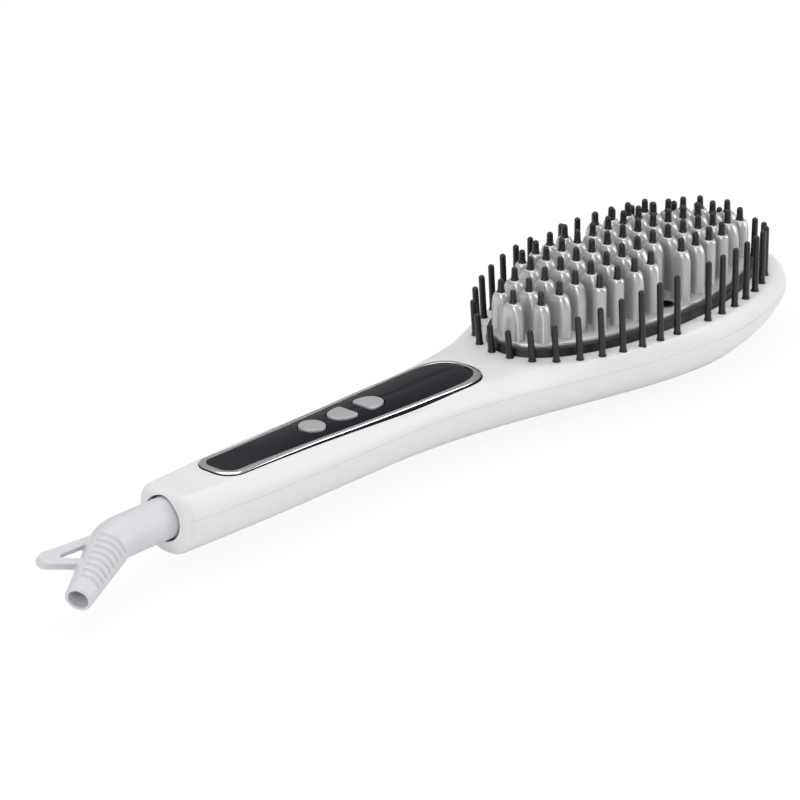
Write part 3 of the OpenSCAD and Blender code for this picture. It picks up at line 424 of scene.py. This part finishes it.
def shoulder(x, t, steps, lip):
    """One side of the upper section, t inside the skin, from the parting line up to the deck."""
    w = (half_base(x) - t) * plan(x)
    d = min(deck_half(x) - t * plan(x), w * 0.97)
    h = (deck_z(x) - part_z(x) - t) * tip_round(x, WIDEST, 4) * end_round(x)
    angles = [math.pi / 2 * k / steps for k in range(1, steps + 1)]
    points = [oval_point(w - d, h, SHOULDER_OVAL, a) for a in angles]
    curve = [(d + out, part_z(x) + rise) for out, rise in points]
    c = min(lip, 0.6 * (curve[0][1] - part_z(x)))
    return [(w - c, part_z(x)), (w, part_z(x) + c)] + curve


def belly(x, t, steps, lip):
    """The lower section, t inside the skin, from one side of the parting line to the other."""
    w = (half_base(x) - t) * plan(x)
    depth = mix(BELLY_HANDLE, BELLY_HEAD, ease(x, DEEPEST, BELLY_RUN, 0.63))
    h = (depth - t) * tip_round(x, DEEPEST, 1.34) * end_round(x)
    points = [oval_point(w, h, BELLY_OVAL, math.pi * k / steps) for k in range(1, steps)]
    curve = [(out, part_z(x) - drop) for out, drop in points]
    c = min(lip, 0.6 * (part_z(x) - curve[0][1]))
    return [(w - c, part_z(x)), (w, part_z(x) - c)] + curve + [(-w, part_z(x) - c), (c - w, part_z(x))]


print("half width at the head and at the grip:", round(half_base(WIDEST), 2), round(half_base(-150), 2))

# %% [markdown]
# ### Where the sections stand
# The sections are set closer together towards both ends, where the form turns quickly. An inner
# skin, t inside the outer one, is drawn from the same curves, and is also pulled in at its ends.

# %% Sections
STATIONS = 150


def station(i):
    u = i / STATIONS
    return HANDLE_END + CASING_LENGTH * (0.35 * u + 0.65 * (0.5 - 0.5 * math.cos(math.pi * u)))


def pulled_in(x, t):
    return x + (t - 2 * t * (x - HANDLE_END) / CASING_LENGTH)


def upper_row(i, t, lip=0.22, steps=22):
    x = station(i)
    side_curve = shoulder(x, t, steps, lip)
    edge, height = side_curve[-1]
    deck = [(edge * k / 5, height) for k in range(-4, 5)]
    section = [(-y, z) for y, z in side_curve] + deck + side_curve[::-1]
    return [(pulled_in(x, t), y, z) for y, z in section]


def lower_row(i, t, lip=0.22, steps=60):
    x = station(i)
    return [(pulled_in(x, t), y, z) for y, z in belly(x, t, steps, lip)]


print("first and last section at x =", round(station(0), 1), round(station(STATIONS), 1))

# %% [markdown]
# ## Hollowing a shell
# Each half is a solid net with a smaller net taken out of it, a wall's thickness inside. The
# outer rim has a tiny chamfer: where the two halves meet, the chamfers make the fine groove
# that the eye reads as the parting line. Bosses and ribs stand inside, cut off by a slightly
# smaller copy of the outer form so that they never show through the skin.

# %% Shell, bosses and plain cutters
BARE_LIP, UNDER_SKIN = 0.02, 0.4  # mm: a chamfer too small to see, and how far bosses stay inside
EXIT_Z, WALL_BACK, WALL_FRONT = -9.3, -206.3, -204  # the exit's height and its cross wall
CASING_SCREWS = [(-186.4, 5.8), (-186.4, -5.8), (-73, 11), (-73, -11), (64, 0)]
RING_SCREWS = [(sx * 22, sy * 26.75) for sx in (-1, 1) for sy in (-1, 1)]


def shell(row, past):
    """past: how far the hollow runs over the parting line, so that it comes out open there."""
    hollow = []
    for i in range(STATIONS + 1):
        section = row(i, WALL, BARE_LIP)
        (x, y0, z), (_, y1, _) = section[0], section[-1]
        hollow.append([(x, y0, z + past)] + section + [(x, y1, z + past)])
    outer = net([row(i, 0) for i in range(STATIONS + 1)], ring=True)
    return cut(outer, net(hollow, ring=True))


def trimmed(inside, row):
    """Joins what stands inside and keeps only what lies a little under the skin."""
    form = net([row(i, UNDER_SKIN, BARE_LIP) for i in range(0, STATIONS + 1, 3)], ring=True)
    return cut(join(inside), form, "INTERSECT")


def rod(x, y, r, z0, z1, sides=48):
    obj = tower(circle(r, sides), [(z0, 1, 1), (z1, 1, 1)])
    return settle(obj, Matrix.Translation(place(x, y, 0)))


def block(x0, x1, y0, y1, z0, z1):
    outline = [(x0, y0), (x1, y0), (x1, y1), (x0, y1)]
    return settle(tower(outline, [(z0, 1, 1), (z1, 1, 1)]), Matrix.Translation(PLATE_MIDDLE))


def stepped(steps, matrix, sides=64):
    """A round tool with a step wherever two entries share one level: (level, radius) in mm."""
    return settle(tower(circle(1, sides), [(z, r, r) for z, r in steps]), matrix)


def exit_tool():
    """The cord exit's stepped bore: the opening, the bush's seat, the cross wall, the room behind it."""
    steps = [(-218, 7.25), (-208, 7.25), (-208, 6.95), (WALL_BACK, 6.95), (WALL_BACK, 6.15),
             (WALL_FRONT, 6.15), (WALL_FRONT, 6.95), (-201.8, 6.95)]
    along = Matrix.Rotation(math.pi / 2, 4, "Y")
    return stepped(steps, Matrix.Translation(place(0, 0, EXIT_Z)) @ along, 96)


print("screws:", len(CASING_SCREWS), "in the casing,", len(RING_SCREWS), "in the ring")

# %% [markdown]
# ### The lower half
# Such a brush is usually screwed together from below, so this half has five bosses, each with a
# wide bore for the screw's head and a narrow one for its shank. Ribs hold the parts inside, and
# a cross wall carries the cord exit. All is joined first and cut to the form in one go, which is
# quicker and cleaner than fitting each post to the curved belly by hand.

# %% Lower shell
BOSS_R, HEAD_BORE_R, SHANK_BORE_R = 3.75, 2.55, 1.45
lower = shell(lower_row, 2)
inside = [rod(x, y, BOSS_R, -40, part_z(x) - 0.05) for x, y in CASING_SCREWS]
inside += [block(WALL_BACK, WALL_FRONT, -20, 20, -30, -7.85)]
inside += [block(-12, 16, y, y + 1.6, -40, -24) for y in (-8, 7)]
inside += [block(x, x + 1.6, -4, 4, -40, -18) for x in (-199.3, -193.8)]
cut(lower, trimmed(inside, lower_row), "UNION")
tools = []
for x, y in CASING_SCREWS:
    step = part_z(x) - 2
    bore = [(-40, HEAD_BORE_R), (step, HEAD_BORE_R), (step, SHANK_BORE_R), (0, SHANK_BORE_R)]
    tools.append(stepped(bore, Matrix.Translation(place(x, y, 0))))
cut(lower, join(tools + [exit_tool()]))
done(lower, "casing_lower_half", "casing", finishes["casing"], ["lower_casing"], smooth=32)

# %% [markdown]
# ## The panel's outline
# Panel, rim and recess share one outline: straight sides that widen towards the head, small
# round corners at the handle's end and a wide round nose. It lies in its own plane, tilted by
# less than a degree, so everything on it is made flat and then turned into place. The face is
# slightly crowned: a little higher in the middle and lower along its sides.

# %% Panel frame and outline
PANEL_BACK, PANEL_FRONT = -57.4, 53.5  # x of its two ends, from its own middle
PANEL_END_WIDTH, PANEL_WIDTH, NOSE = 12, 18.6, 15
CROWN_UP, CROWN_DROP = 0.55, 0.85  # mm above the plane in the middle, and from there to the sides
panel_turn = Matrix.Translation(place(PANEL_X, 0, PANEL_Z)) @ Matrix.Rotation(PANEL_TILT, 4, "Y")


def lens_half(x, grow):
    """Half the panel's width at x, with the whole outline grown outwards by grow."""
    c, back_end, front = 4 + grow, PANEL_BACK - grow, PANEL_FRONT + grow
    wide = mix(PANEL_END_WIDTH, PANEL_WIDTH, ease(x, 39, 96.4)) / 2 + grow
    if x > front - NOSE:
        return wide * round_off((x - front + NOSE) / NOSE, 2.7)
    return wide - c + c * round_off((back_end + c - x) / c, 2)


def panel_outline(grow, steps=90):
    back_end, front = PANEL_BACK - grow, PANEL_FRONT + grow
    xs = [mix(back_end, front, 0.5 - 0.5 * math.cos(math.pi * i / steps)) for i in range(steps + 1)]
    return [(x, -lens_half(x, grow)) for x in xs] + [(x, lens_half(x, grow)) for x in xs[-2:0:-1]]


def crown(x, share):
    """Height of the panel's face at this share of its half width. It fades out at both ends."""
    return (CROWN_UP - CROWN_DROP * share * share) * (1 - clamp01(abs(x - 8) / 54) ** 2)


print("panel:", round(lens_half(-50, 0) * 2, 1), "mm wide at the handle,",
      round(lens_half(16, 0) * 2, 1), "at most")

# %% [markdown]
# ### The outlines of the keys
# One key is round, and the two others are the halves of an oval, back to back, with round
# corners. A half oval is sharp where its arc meets its straight side, so a smaller one is drawn
# first, and the outline is where a circle's rim goes when it is rolled round that.

# %% Key outlines
POWER_X, POWER_R = -15.4, 4.25
MINUS_X, PLUS_X = -2.9, 10.7
KEY_LENGTH, KEY_HALF, KEY_CORNER = 8.3, 4.35, 1.4
KEY_GAP, FLARED_GAP = 0.35, 0.62  # from a key to the edge of its hole, and at the flared top


def round_key(grow, sides=64):
    return [(x + POWER_X, y) for x, y in circle(POWER_R + grow, sides)]


def half_key(turn_side, middle, grow, steps=40, sides=96):
    """turn_side: 1 where the arc looks towards the head, and -1 where it looks to the handle."""
    length, half = KEY_LENGTH - 2 * KEY_CORNER, KEY_HALF - KEY_CORNER
    inner = []
    for i in range(steps + 1):
        c, s = math.cos(math.pi * i / steps), math.sin(math.pi * i / steps)
        inner.append((turn_side * (length * max(s, 0) ** 0.8 - length / 2),
                      -turn_side * math.copysign(half * abs(c) ** 0.8, c)))
    points = []
    for dx, dy in circle(1, sides):
        x, y = max(inner, key=lambda q: q[0] * dx + q[1] * dy)
        points.append((middle + x + (KEY_CORNER + grow) * dx, y + (KEY_CORNER + grow) * dy))
    return points


def minus_shape(grow):
    return half_key(-1, MINUS_X, grow)


def plus_shape(grow):
    return half_key(1, PLUS_X, grow)


def prism(outline, z0, z1, matrix):
    """An outline pulled up into a plate."""
    return settle(tower(outline, [(z0, 1, 1), (z1, 1, 1)]), matrix)


print("keys at x =", POWER_X, MINUS_X, PLUS_X, "on the panel")

# %% [markdown]
# ### The upper half
# This half has the large oval opening for the plate and its ring, and the recess in which panel
# and rim are seated. A pad under the recess gives it a floor, and the keys pass through that.
# What is added comes before what is cut away, so that no hole is closed again by a post.

# %% Upper shell
HOLE_OVAL = 2.07
UPPER_BOSS_R, RING_POST_R = 2.5, 1.55
RECESS_GROW, PAD_GROW = 2.45, 3.3  # how far recess and pad reach past the panel's edge
upper = shell(upper_row, -2)
inside = [rod(x, y, UPPER_BOSS_R, part_z(x) + 0.05, 2) for x, y in CASING_SCREWS]
inside += [block(WALL_BACK, WALL_FRONT, -20, 20, -7.75, 4)]
posts = trimmed(inside, upper_row)
pad = prism(panel_outline(PAD_GROW), -3.6, -1.8, panel_turn)
ring_posts = [rod(x, y, RING_POST_R, -8.35, -4.8) for x, y in RING_SCREWS]
cut(upper, posts, "UNION")
cut(upper, join([pad] + ring_posts), "UNION")
cut(upper, prism(oval(58.55, 26.95, HOLE_OVAL), -30, 5, Matrix.Translation(PLATE_MIDDLE)))
cut(upper, prism(panel_outline(RECESS_GROW), -2, 10, panel_turn))
keys = [prism(shape(KEY_GAP), -20, 0, panel_turn) for shape in (round_key, minus_shape, plus_shape)]
cut(upper, join(keys + [exit_tool()]))
done(upper, "casing_upper_half", "casing", finishes["casing"], ["upper_casing"], smooth=32)

# %% [markdown]
# ## The heated plate and its teeth
# The plate is one casting: a flat oval with a softened edge, and teeth like the blades of a
# comb that stand across the brush. Each tooth is straight at its foot and rounds off towards
# a small flat top that carries the cap. Four widths cover all rows, so four teeth are made by
# hand and the others are copies whose tops are slid up or down along the dome of the brush.

# %% Plate
PLATE_OVAL = 2.17
SCREW_POST_X, SCREW_POST_Y, SCREW_POST_R = 44, 9, 3
OUTLET_Y, OUTLET_R = 18.2, 2.83
plate_levels = [(-2.5, 1, 1), (-0.7, 1, 1), (-0.2, 0.9965, 0.993), (0, 0.990, 0.978)]
plate = tower(oval(56.9, 23.8, PLATE_OVAL), plate_levels)
for x, y in [(sx * SCREW_POST_X, sy * SCREW_POST_Y) for sx in (-1, 1) for sy in (-1, 1)]:
    post = [(px + x, py + y) for px, py in circle(SCREW_POST_R, 40)]
    cut(plate, tower(post, [(-9.3, 1, 1), (-1, 1, 1)]), "UNION")
for y in (-OUTLET_Y, OUTLET_Y):
    outlet = [(px, py + y) for px, py in circle(OUTLET_R, 48)]
    cut(plate, tower(outlet, [(-10, 1, 1), (3, 1, 1)]))
settle(plate, Matrix.Translation(PLATE_MIDDLE))
print("plate:", [round(v / MM, 1) for v in plate.dimensions], "mm")

# %% [markdown]
# ### Tooth and cap
# A tooth's section is a slot shape: two straight sides and two round ends. It is extruded level by
# level, and each level is scaled along and across by itself, because the wide teeth start to
# round off further down across the brush than along it. A cap is a short round tower with a
# wider foot and a domed end.

# %% Tooth and cap
TOOTH_PITCH, TOOTH_THICK, TOOTH_HEIGHT = 7.68, 4.3, 18.0
DOME_TOP, DOME_ALONG, DOME_ACROSS = 18.7, 0.00234, 0.0069


def stadium(width, thick, round_steps=8):
    r, ring = thick / 2, []
    for end in (1, -1):
        for k in range(round_steps + 1):
            a = math.pi * k / round_steps
            ring.append((end * r * math.cos(a), end * ((width - thick) / 2 + r * math.sin(a))))
    return ring


def tooth_top(x, y):
    """The height of a tooth at this place: all the tops lie on one low dome."""
    return DOME_TOP - DOME_ALONG * x * x - DOME_ACROSS * y * y


def make_tooth(width):
    """s and t: how far below its top the tooth starts to round off, across and along the brush."""
    thick, h, tip = TOOTH_THICK, TOOTH_HEIGHT, 1.4
    s = width * 0.8 if width > 5.3 else 1.2
    t = min(s, 2.6)
    steps = [(-0.6, 1.05, 1.03), (0, 1.05, 1.03), (0.5, 1.0, 1.0)]
    levels = sorted({h - s} | {h - s + s * math.sin(math.radians(a)) for a in range(10, 91, 10)}
                    | {h - t * f for f in (1.0, 0.7, 0.45, 0.25, 0.1)})
    for z in levels:
        across = tip + (width / 2 - tip) * math.sqrt(max(0, 1 - clamp01((z - h + s) / s) ** 2))
        along = tip + (thick / 2 - tip) * math.sqrt(max(0, 1 - clamp01((z - h + t) / t) ** 2))
        steps.append((z, along / (thick / 2), across / (width / 2)))
    return tower(stadium(width, thick), steps)


def make_cap():
    steps = [(0, 1.36, 1.36), (0.18, 1.36, 1.36), (0.42, 1.24, 1.24), (1.1, 1.1, 1.1), (3.3, 1.03, 1.03)]
    steps += [(3.35 + 1.05 * math.sin(a), 1.03 * math.cos(a) + 0.01, 1.03 * math.cos(a) + 0.01)
              for a in (math.radians(v) for v in (20, 40, 58, 74, 86))]
    return tower(circle(1, 20), steps)


def copy_to(master, x, y, z, lift=0.0, above=1.0, turn_y=0.0):
    """A copy with its own mesh: everything above a level slides up by lift, then it is put in place."""
    obj = master.copy()
    obj.data = master.data.copy()
    bpy.context.scene.collection.objects.link(obj)
    for vertex in obj.data.vertices:
        if vertex.co.z > above * MM:
            vertex.co.z += lift * MM
    return settle(obj, Matrix.Translation(place(x, y, z)) @ Matrix.Rotation(math.radians(turn_y), 4, "Y"))


# %% [markdown]
# ### Five rows of teeth
# The middle row and the two beside it have the widest teeth, and those two stand half a pitch
# further on. The two outer rows follow the plate's edge, and leave a place free in the middle
# for the outlets.

# %% Rows of teeth
WIDE, OUTER_WIDE, ROW_END, OUTER_END = 8.7, 7.0, 6.4, 4.6  # the four widths across the brush
SECOND_Y, SECOND_END_Y, OUTER_Y, OUTER_BEND = 9.38, 8.41, 18.2, 0.0021
teeth = [(i * TOOTH_PITCH, 0, WIDE) for i in range(-7, 8)]
for s in (-1, 1):
    for i in range(-7, 7):
        last = i in (-7, 6)
        y = s * (SECOND_END_Y if last else SECOND_Y)
        teeth.append(((i + 0.5) * TOOTH_PITCH, y, ROW_END if last else WIDE))
    for i in (-4, -3, -2, -1, 1, 2, 3, 4):
        x = i * TOOTH_PITCH
        y = s * (OUTER_Y - OUTER_BEND * x * x)
        teeth.append((x, y, OUTER_END if abs(i) > 2 else OUTER_WIDE))
masters = {w: make_tooth(w) for w in (WIDE, OUTER_WIDE, ROW_END, OUTER_END)}
cap_master = make_cap()
row = [copy_to(masters[w], x, y, 0, tooth_top(x, y) - TOOTH_HEIGHT) for x, y, w in teeth]
caps = [copy_to(cap_master, x, y, tooth_top(x, y)) for x, y, w in teeth]
for master in (*masters.values(), cap_master):
    bpy.data.objects.remove(master)
done(join([plate] + row), "heated_plate_and_teeth", "casing", finishes["plate_metal"],
     ["heating_plate"], smooth=38)
done(join(caps), "heatproof_caps", "casing", finishes["cap_black"], ["tooth_caps"], smooth=50)

# %% [markdown]
# ## The ring
# A black ring keeps the hot plate away from the casing. It is three closed bands: the wall that
# is seen round the plate, a flange under the deck, and a ledge that carries the plate. Each is a
# net whose rows are rings, and whose last row is its first one again, so that it closes on
# itself.

# %% Ring
RING_FACES = [(0, -10.7), (0, -1.35), (0.12, -1.05), (0.35, -0.92), (0.75, -0.9), (1, -1.0), (1, -10.7)]
rows = []
for share, z in RING_FACES:
    pairs = zip(oval(58.4, 26.8, HOLE_OVAL), oval(57.2, 24.1, PLATE_OVAL))
    rows.append([(mix(x0, x1, share), mix(y0, y1, share), z) for (x0, y0), (x1, y1) in pairs])
ring = net(rows + rows[:1], ring=True, fill=False)


def closed_band(outline, profile):
    """profile: (scale of x, scale of y, z), and back to its first entry."""
    return net([[(x * kx, y * ky, z) for x, y in outline] for kx, ky, z in profile], ring=True, fill=False)


flange = closed_band(oval(59.4, 29.6, DECK_OVAL), [(0.965, 0.93, -9.7), (1, 1, -9.7), (1, 1, -8.25),
                                                   (0.965, 0.93, -8.25), (0.965, 0.93, -9.7)])
ledge = closed_band(oval(57.9, 24.8, PLATE_OVAL), [(1, 1, -4.1), (1, 1, -2.5), (0.955, 0.955, -2.5),
                                                   (0.955, 0.955, -4.1), (1, 1, -4.1)])
done(join([ring, flange, ledge]), "plate_ring", "casing", finishes["ring_black"],
     ["insulating_ring"], smooth=40)

# %% [markdown]
# ## The outer pins
# Around the ring stands a row of stiff pins, round in section, with a flared foot on the deck
# and a round tip. They lean outwards a little at the ends of the head. The places are evenly
# spaced along an oval, which is walked in small steps, because an oval's length has no simple
# formula. The two places in the middle of the sides stay empty.

# %% Pins
PIN_OVAL_A, PIN_OVAL_B = 59.9, 31.1
PIN_HEIGHT = 9.12  # of the one that is copied
LONGEST_PIN, FALL_OFF, FAR_SHORTER = 20.2, 3.9e-5, 2.4
LEAN_AT_HANDLE, TIP_LEAN_SHARE = 6, 0.3  # degrees, and the share of it at the head's tip
EMPTY_PLACES = (9, 29)


def pin_places(count=39, steps=2880):
    path = []
    for i in range(steps + 1):
        x, y = oval_point(PIN_OVAL_A, PIN_OVAL_B, DECK_OVAL, 2 * math.pi * i / steps)
        path.append((-x, -y))
    run = [0.0]
    for p, q in zip(path, path[1:]):
        run.append(run[-1] + math.dist(p, q))
    found, k = [], 0
    for i in range(count):
        goal = (i + 0.5) * run[-1] / count
        while run[k + 1] < goal:
            k += 1
        t = (goal - run[k]) / (run[k + 1] - run[k])
        found.append((mix(path[k][0], path[k + 1][0], t), mix(path[k][1], path[k + 1][1], t)))
    return found


def make_pin():
    steps = [(-3.4, 1.05, 1.05), (-0.5, 1.05, 1.05), (-0.45, 1.4, 1.4), (0.12, 1.36, 1.36), (0.5, 1.2, 1.2),
             (1.3, 1.08, 1.08), (8.0, 1.02, 1.02)]
    steps += [(8.1 + 1.02 * math.sin(a), 1.02 * math.cos(a) + 0.01, 1.02 * math.cos(a) + 0.01)
              for a in (math.radians(v) for v in (18, 36, 54, 70, 84))]
    return tower(circle(1, 20), steps)


pin_master = make_pin()
near_pins, far_pins = [], []
for i, (x, y) in enumerate(pin_places()):
    if i in EMPTY_PLACES:
        continue
    far = i > 19
    shorter = FAR_SHORTER * clamp01((55 - abs(x)) / 20) if far else 0
    length = LONGEST_PIN - FALL_OFF * abs(x - 5) ** 3 - shorter
    lean = LEAN_AT_HANDLE * x / PIN_OVAL_A * (1 if x < 0 else TIP_LEAN_SHARE)
    pin = copy_to(pin_master, x, y, DECK_Z, length - PIN_HEIGHT, 4.0, lean)
    (far_pins if far else near_pins).append(pin)
bpy.data.objects.remove(pin_master)
print("pins:", len(near_pins), "near,", len(far_pins), "far")

# %% [markdown]
# ### The strips that carry them
# Under the deck the pins of each side are moulded to one curved strip, so that they go in as a
# comb. It stops a little short of the head's two ends. Strip and pins are joined into one piece.

# %% Strips
STRIP_BOTTOM, STRIP_TOP = -8.35, -6.45


def comb_strip(side_sign):
    rows = []
    for k in range(61):
        angle = math.pi * (k / 60 * 0.94 + 0.03)
        (x0, y0), (x1, y1) = (oval_point(58.7, 28.7, DECK_OVAL, angle),
                              oval_point(60.3, 30.3, DECK_OVAL, angle))
        corners = ((x0, y0, STRIP_BOTTOM), (x1, y1, STRIP_BOTTOM), (x1, y1, STRIP_TOP), (x0, y0, STRIP_TOP))
        rows.append([(x, side_sign * y, z) for x, y, z in corners])
    return net(rows, ring=True)


for side, sign, pins in (("near", -1, near_pins), ("far", 1, far_pins)):
    done(join([comb_strip(sign)] + pins), side + "_outer_pins", "casing",
         finishes["bristle_black"], [side + "_bristle_comb"], smooth=50)

# %% [markdown]
# ## The rim and the painted shade under it
# The rim is a chromed bead that rises from the deck to the panel's edge. It follows the panel's
# crown, and is wider at both ends of the panel than beside the keys. Under it lies a thin
# near-black band with almost no gloss, painted shade for the undercut between rim and deck, which
# shows as a dark line. Both are closed bands again: rings round the outline, each at its own
# distance and height.

# %% Rim
SEAT = 0.06  # the gap between the panel's edge and the rim
NARROW_BEAD, WIDE_BEAD = 1.25, 2.2


def bead_width(x):
    """The bead is narrow along the keys and widens towards both ends of the panel."""
    return mix(NARROW_BEAD, WIDE_BEAD, clamp01((abs(x - 2) - 26) / 24))


def band(profile):
    """profile: (share of the bead's width, extra width, z, follows the crown). Rings round the outline."""
    rows = []
    for share, extra, z, follow in profile:
        ring = []
        for (x0, y0), (x1, y1) in zip(panel_outline(SEAT), panel_outline(SEAT + 1)):
            out = (bead_width(x0) - SEAT) * share + extra
            rise = crown(x0, 1) if follow else 0
            ring.append((x0 + (x1 - x0) * out, y0 + (y1 - y0) * out, z + rise))
        rows.append(ring)
    return settle(net(rows + rows[:1], ring=True, fill=False), panel_turn @ Matrix.Translation(-PLATE_MIDDLE))


rim = band([(0, 0, -2.0, False), (0, 0, 0.0, True), (0.08, 0, 0.1, True), (0.35, 0, 0.12, True),
            (0.7, 0, 0.0, True), (0.93, 0, -0.22, True), (1, 0, -0.4, True), (0.97, 0, -0.55, True),
            (0.97, 0, -2.0, False)])
# painted shade: a near-black band set under the rim, for the shade of the undercut between rim and deck
undercut_shade_band = band([(0.97, 0.02, -2.0, False), (0.97, 0.02, -0.62, True), (0.97, 0.12, -0.72, True),
               (0, 2.2, -1.0, False), (0, 2.26, -1.1, False), (0, 2.26, -2.0, False)])
done(undercut_shade_band, "panel_undercut_painted_shade", "casing", finishes["undercut_painted_shade_black"], smooth=30)
done(rim, "chromed_panel_rim", "casing", finishes["bezel_chrome"], ["panel_bezel"], smooth=30)

# %% [markdown]
# ## The panel
# The panel is a thick black plate with a hair of bevel and a crowned face. The face is made of
# rings that shrink towards the middle line, each at the crown's height. The holes for the keys
# are cut in two steps, straight through and then flared at the top, which leaves the fine
# chamfer that catches the light round each hole.

# %% Panel plate
def flared_cutters(shape):
    low, high = shape(KEY_GAP), shape(FLARED_GAP)
    levels = ((low, 0.2), (high, 0.6), (high, 1.6))
    cone = net([[(x, y, z) for x, y in ring] for ring, z in levels], ring=True)
    return prism(low, -3, 1, Matrix.Identity(4)), settle(cone, Matrix.Translation(-PLATE_MIDDLE))


def crown_row(share):
    """A ring of the panel's face, at this share of its half width."""
    middle = (PANEL_FRONT + PANEL_BACK) / 2
    shrink = 1 - 0.04 * (1 - share)
    return [(middle + (x - middle) * shrink, y * share, crown(x, share))
            for x, y in panel_outline(-0.18)]


lens_rows = [[(x, y, z if z < -1 else z + crown(x, 1)) for x, y in panel_outline(g)]
             for g, z in ((0, -2), (0, -0.18), (-0.05, -0.05))]
lens_rows += [crown_row(share) for share in (1, 0.94, 0.85, 0.72, 0.55, 0.36, 0.15)]
lens = settle(net(lens_rows, ring=True), Matrix.Translation(-PLATE_MIDDLE))
for shape in (round_key, minus_shape, plus_shape):
    for tool in flared_cutters(shape):
        cut(lens, tool)
settle(lens, panel_turn)
done(lens, "glossy_panel", "casing", finishes["lens_black"], ["display_lens"], smooth=25)

# %% [markdown]
# ## The keys
# Each key is a silver cap with a rounded edge that catches the light, and a flange under the
# panel that keeps it from falling out. It rides on a body of its own, so that it can be pressed.

# %% Keys
def make_key(shape, flange):
    """Rings of the key's own outline, grown or shrunk at each level, from the flange up."""
    levels = [(flange, -4.55), (flange, -3.65), (0, -3.65), (0, 0.55), (-0.06, 0.75), (-0.2, 0.88),
              (-0.42, 0.93), (-1.2, 0.95)]
    key = net([[(x, y, z) for x, y in shape(g)] for g, z in levels], ring=True)
    return settle(key, Matrix.Translation(-PLATE_MIDDLE))


for name, shape, flange in (("power", round_key, 1.1), ("minus", minus_shape, 0.55),
                            ("plus", plus_shape, 0.55)):
    key = settle(make_key(shape, flange), panel_turn)
    done(key, name + "_key_cap", name + "_key", finishes["button_silver"],
         [name + "_button"], smooth=35)

# %% [markdown]
# ## The cord elbow
# The elbow, the slotted strain relief and the hanging loop are one soft moulding, with no
# sharp edge anywhere. A copy of the solid is merged, filled with small even voxels and
# relaxed, which rounds every rib and corner the way soft plastic comes out of its mould.

# %% Elbow
solid = frame["nodes"]["cord_elbow"]
elbow = solid.copy()
elbow.data = solid.data.copy()
elbow.parent = None
for key in list(elbow.keys()):
    del elbow[key]
bpy.context.scene.collection.objects.link(elbow)
tidy_faces(elbow)
voxels = elbow.modifiers.new("voxels", "REMESH")
voxels.mode = "VOXEL"
voxels.voxel_size = 0.00028
relax = elbow.modifiers.new("relax", "SMOOTH")
relax.factor = 0.5
relax.iterations = 6
only(elbow)
for mod in ("voxels", "relax"):
    bpy.ops.object.modifier_apply(modifier=mod)
done(elbow, "cord_elbow_and_loop", "cord_exit", finishes["elbow_white"], ["cord_elbow"],
     smooth=60)

# %% [markdown]
# ## The floor
# The brush lies on a plain white floor that fills the view. To the camera the floor is mostly a
# glowing white, and only to a small share paper, which still takes the brush's faint shadow. To
# every other ray it is paper, so it throws no more light on the brush than paper would.

# %% Floor
GLOW_SHARE = 0.9
bpy.ops.mesh.primitive_plane_add(size=12, location=(0, 0, 0))
floor = bpy.context.object
floor.name = "white_floor"
paper = bpy.data.materials.new("white_paper")
paper.use_nodes = True
nodes, links = paper.node_tree.nodes, paper.node_tree.links
matt = nodes["Principled BSDF"]
matt.inputs["Base Color"].default_value = (0.9, 0.9, 0.9, 1)
matt.inputs["Roughness"].default_value = 0.9
glow = nodes.new("ShaderNodeEmission")
glow.inputs["Color"].default_value = (1, 1, 1, 1)
glow.inputs["Strength"].default_value = 1.0
rays = nodes.new("ShaderNodeLightPath")
seen = nodes.new("ShaderNodeMath")
seen.operation = "MULTIPLY"
seen.inputs[1].default_value = GLOW_SHARE
links.new(rays.outputs["Is Camera Ray"], seen.inputs[0])
blend = nodes.new("ShaderNodeMixShader")
links.new(seen.outputs[0], blend.inputs["Fac"])
links.new(matt.outputs["BSDF"], blend.inputs[1])
links.new(glow.outputs["Emission"], blend.inputs[2])
links.new(blend.outputs["Shader"], nodes["Material Output"].inputs["Surface"])
floor.data.materials.append(paper)
print("floor:", floor.name, "glow share", GLOW_SHARE)

# %% [markdown]
# ## Surround and lamps
# The picture is high-key: large soft lamps from above and from the camera's left, a smaller one
# that lights the edges at the right, and a white surround. The surround is white to the camera
# and dimmer to all that is lit by it, so that the lamps still shape the brush.

# %% World and lamps
world = bpy.data.worlds.new("white_surround")
bpy.context.scene.world = world
world.use_nodes = True
nodes, links = world.node_tree.nodes, world.node_tree.links
sky = nodes["Background"]
rays = nodes.new("ShaderNodeLightPath")
either = nodes.new("ShaderNodeMath")
either.operation = "MAXIMUM"
links.new(rays.outputs["Is Camera Ray"], either.inputs[0])
links.new(rays.outputs["Is Transmission Ray"], either.inputs[1])
level = nodes.new("ShaderNodeMapRange")
level.inputs["To Min"].default_value = 0.45
level.inputs["To Max"].default_value = 1.0
links.new(either.outputs[0], level.inputs["Value"])
links.new(level.outputs["Result"], sky.inputs["Strength"])
sky.inputs["Color"].default_value = (1, 1, 1, 1)


def soft_lamp(name, where, target, size, power):
    """A rectangle of light at a place in metres, turned to a target. power: watts."""
    data = bpy.data.lights.new(name, "AREA")
    data.shape = "RECTANGLE"
    data.size, data.size_y = size
    data.energy = power
    lamp = bpy.data.objects.new(name, data)
    bpy.context.scene.collection.objects.link(lamp)
    lamp.location = where
    lamp.rotation_euler = (Vector(target) - Vector(where)).to_track_quat("-Z", "Y").to_euler()
    return lamp


soft_lamp("overhead", (0.1, 0.2, 1.3), (0.0, 0.0, 0.02), (1.4, 1.0), 10.5)
soft_lamp("camera_left", (-1.3, -0.5, 0.8), (0.0, 0.0, 0.02), (0.9, 0.9), 10)
soft_lamp("right_edge", (1.0, -0.9, 0.5), (0.05, 0.0, 0.03), (0.5, 0.8), 7.5)
print("lamps:", sorted(light.name for light in bpy.data.lights))

# %% [markdown]
# ## View transform
# Standard shows a colour about as it is written.

# %% View transform
bpy.context.scene.view_settings.view_transform = "Standard"
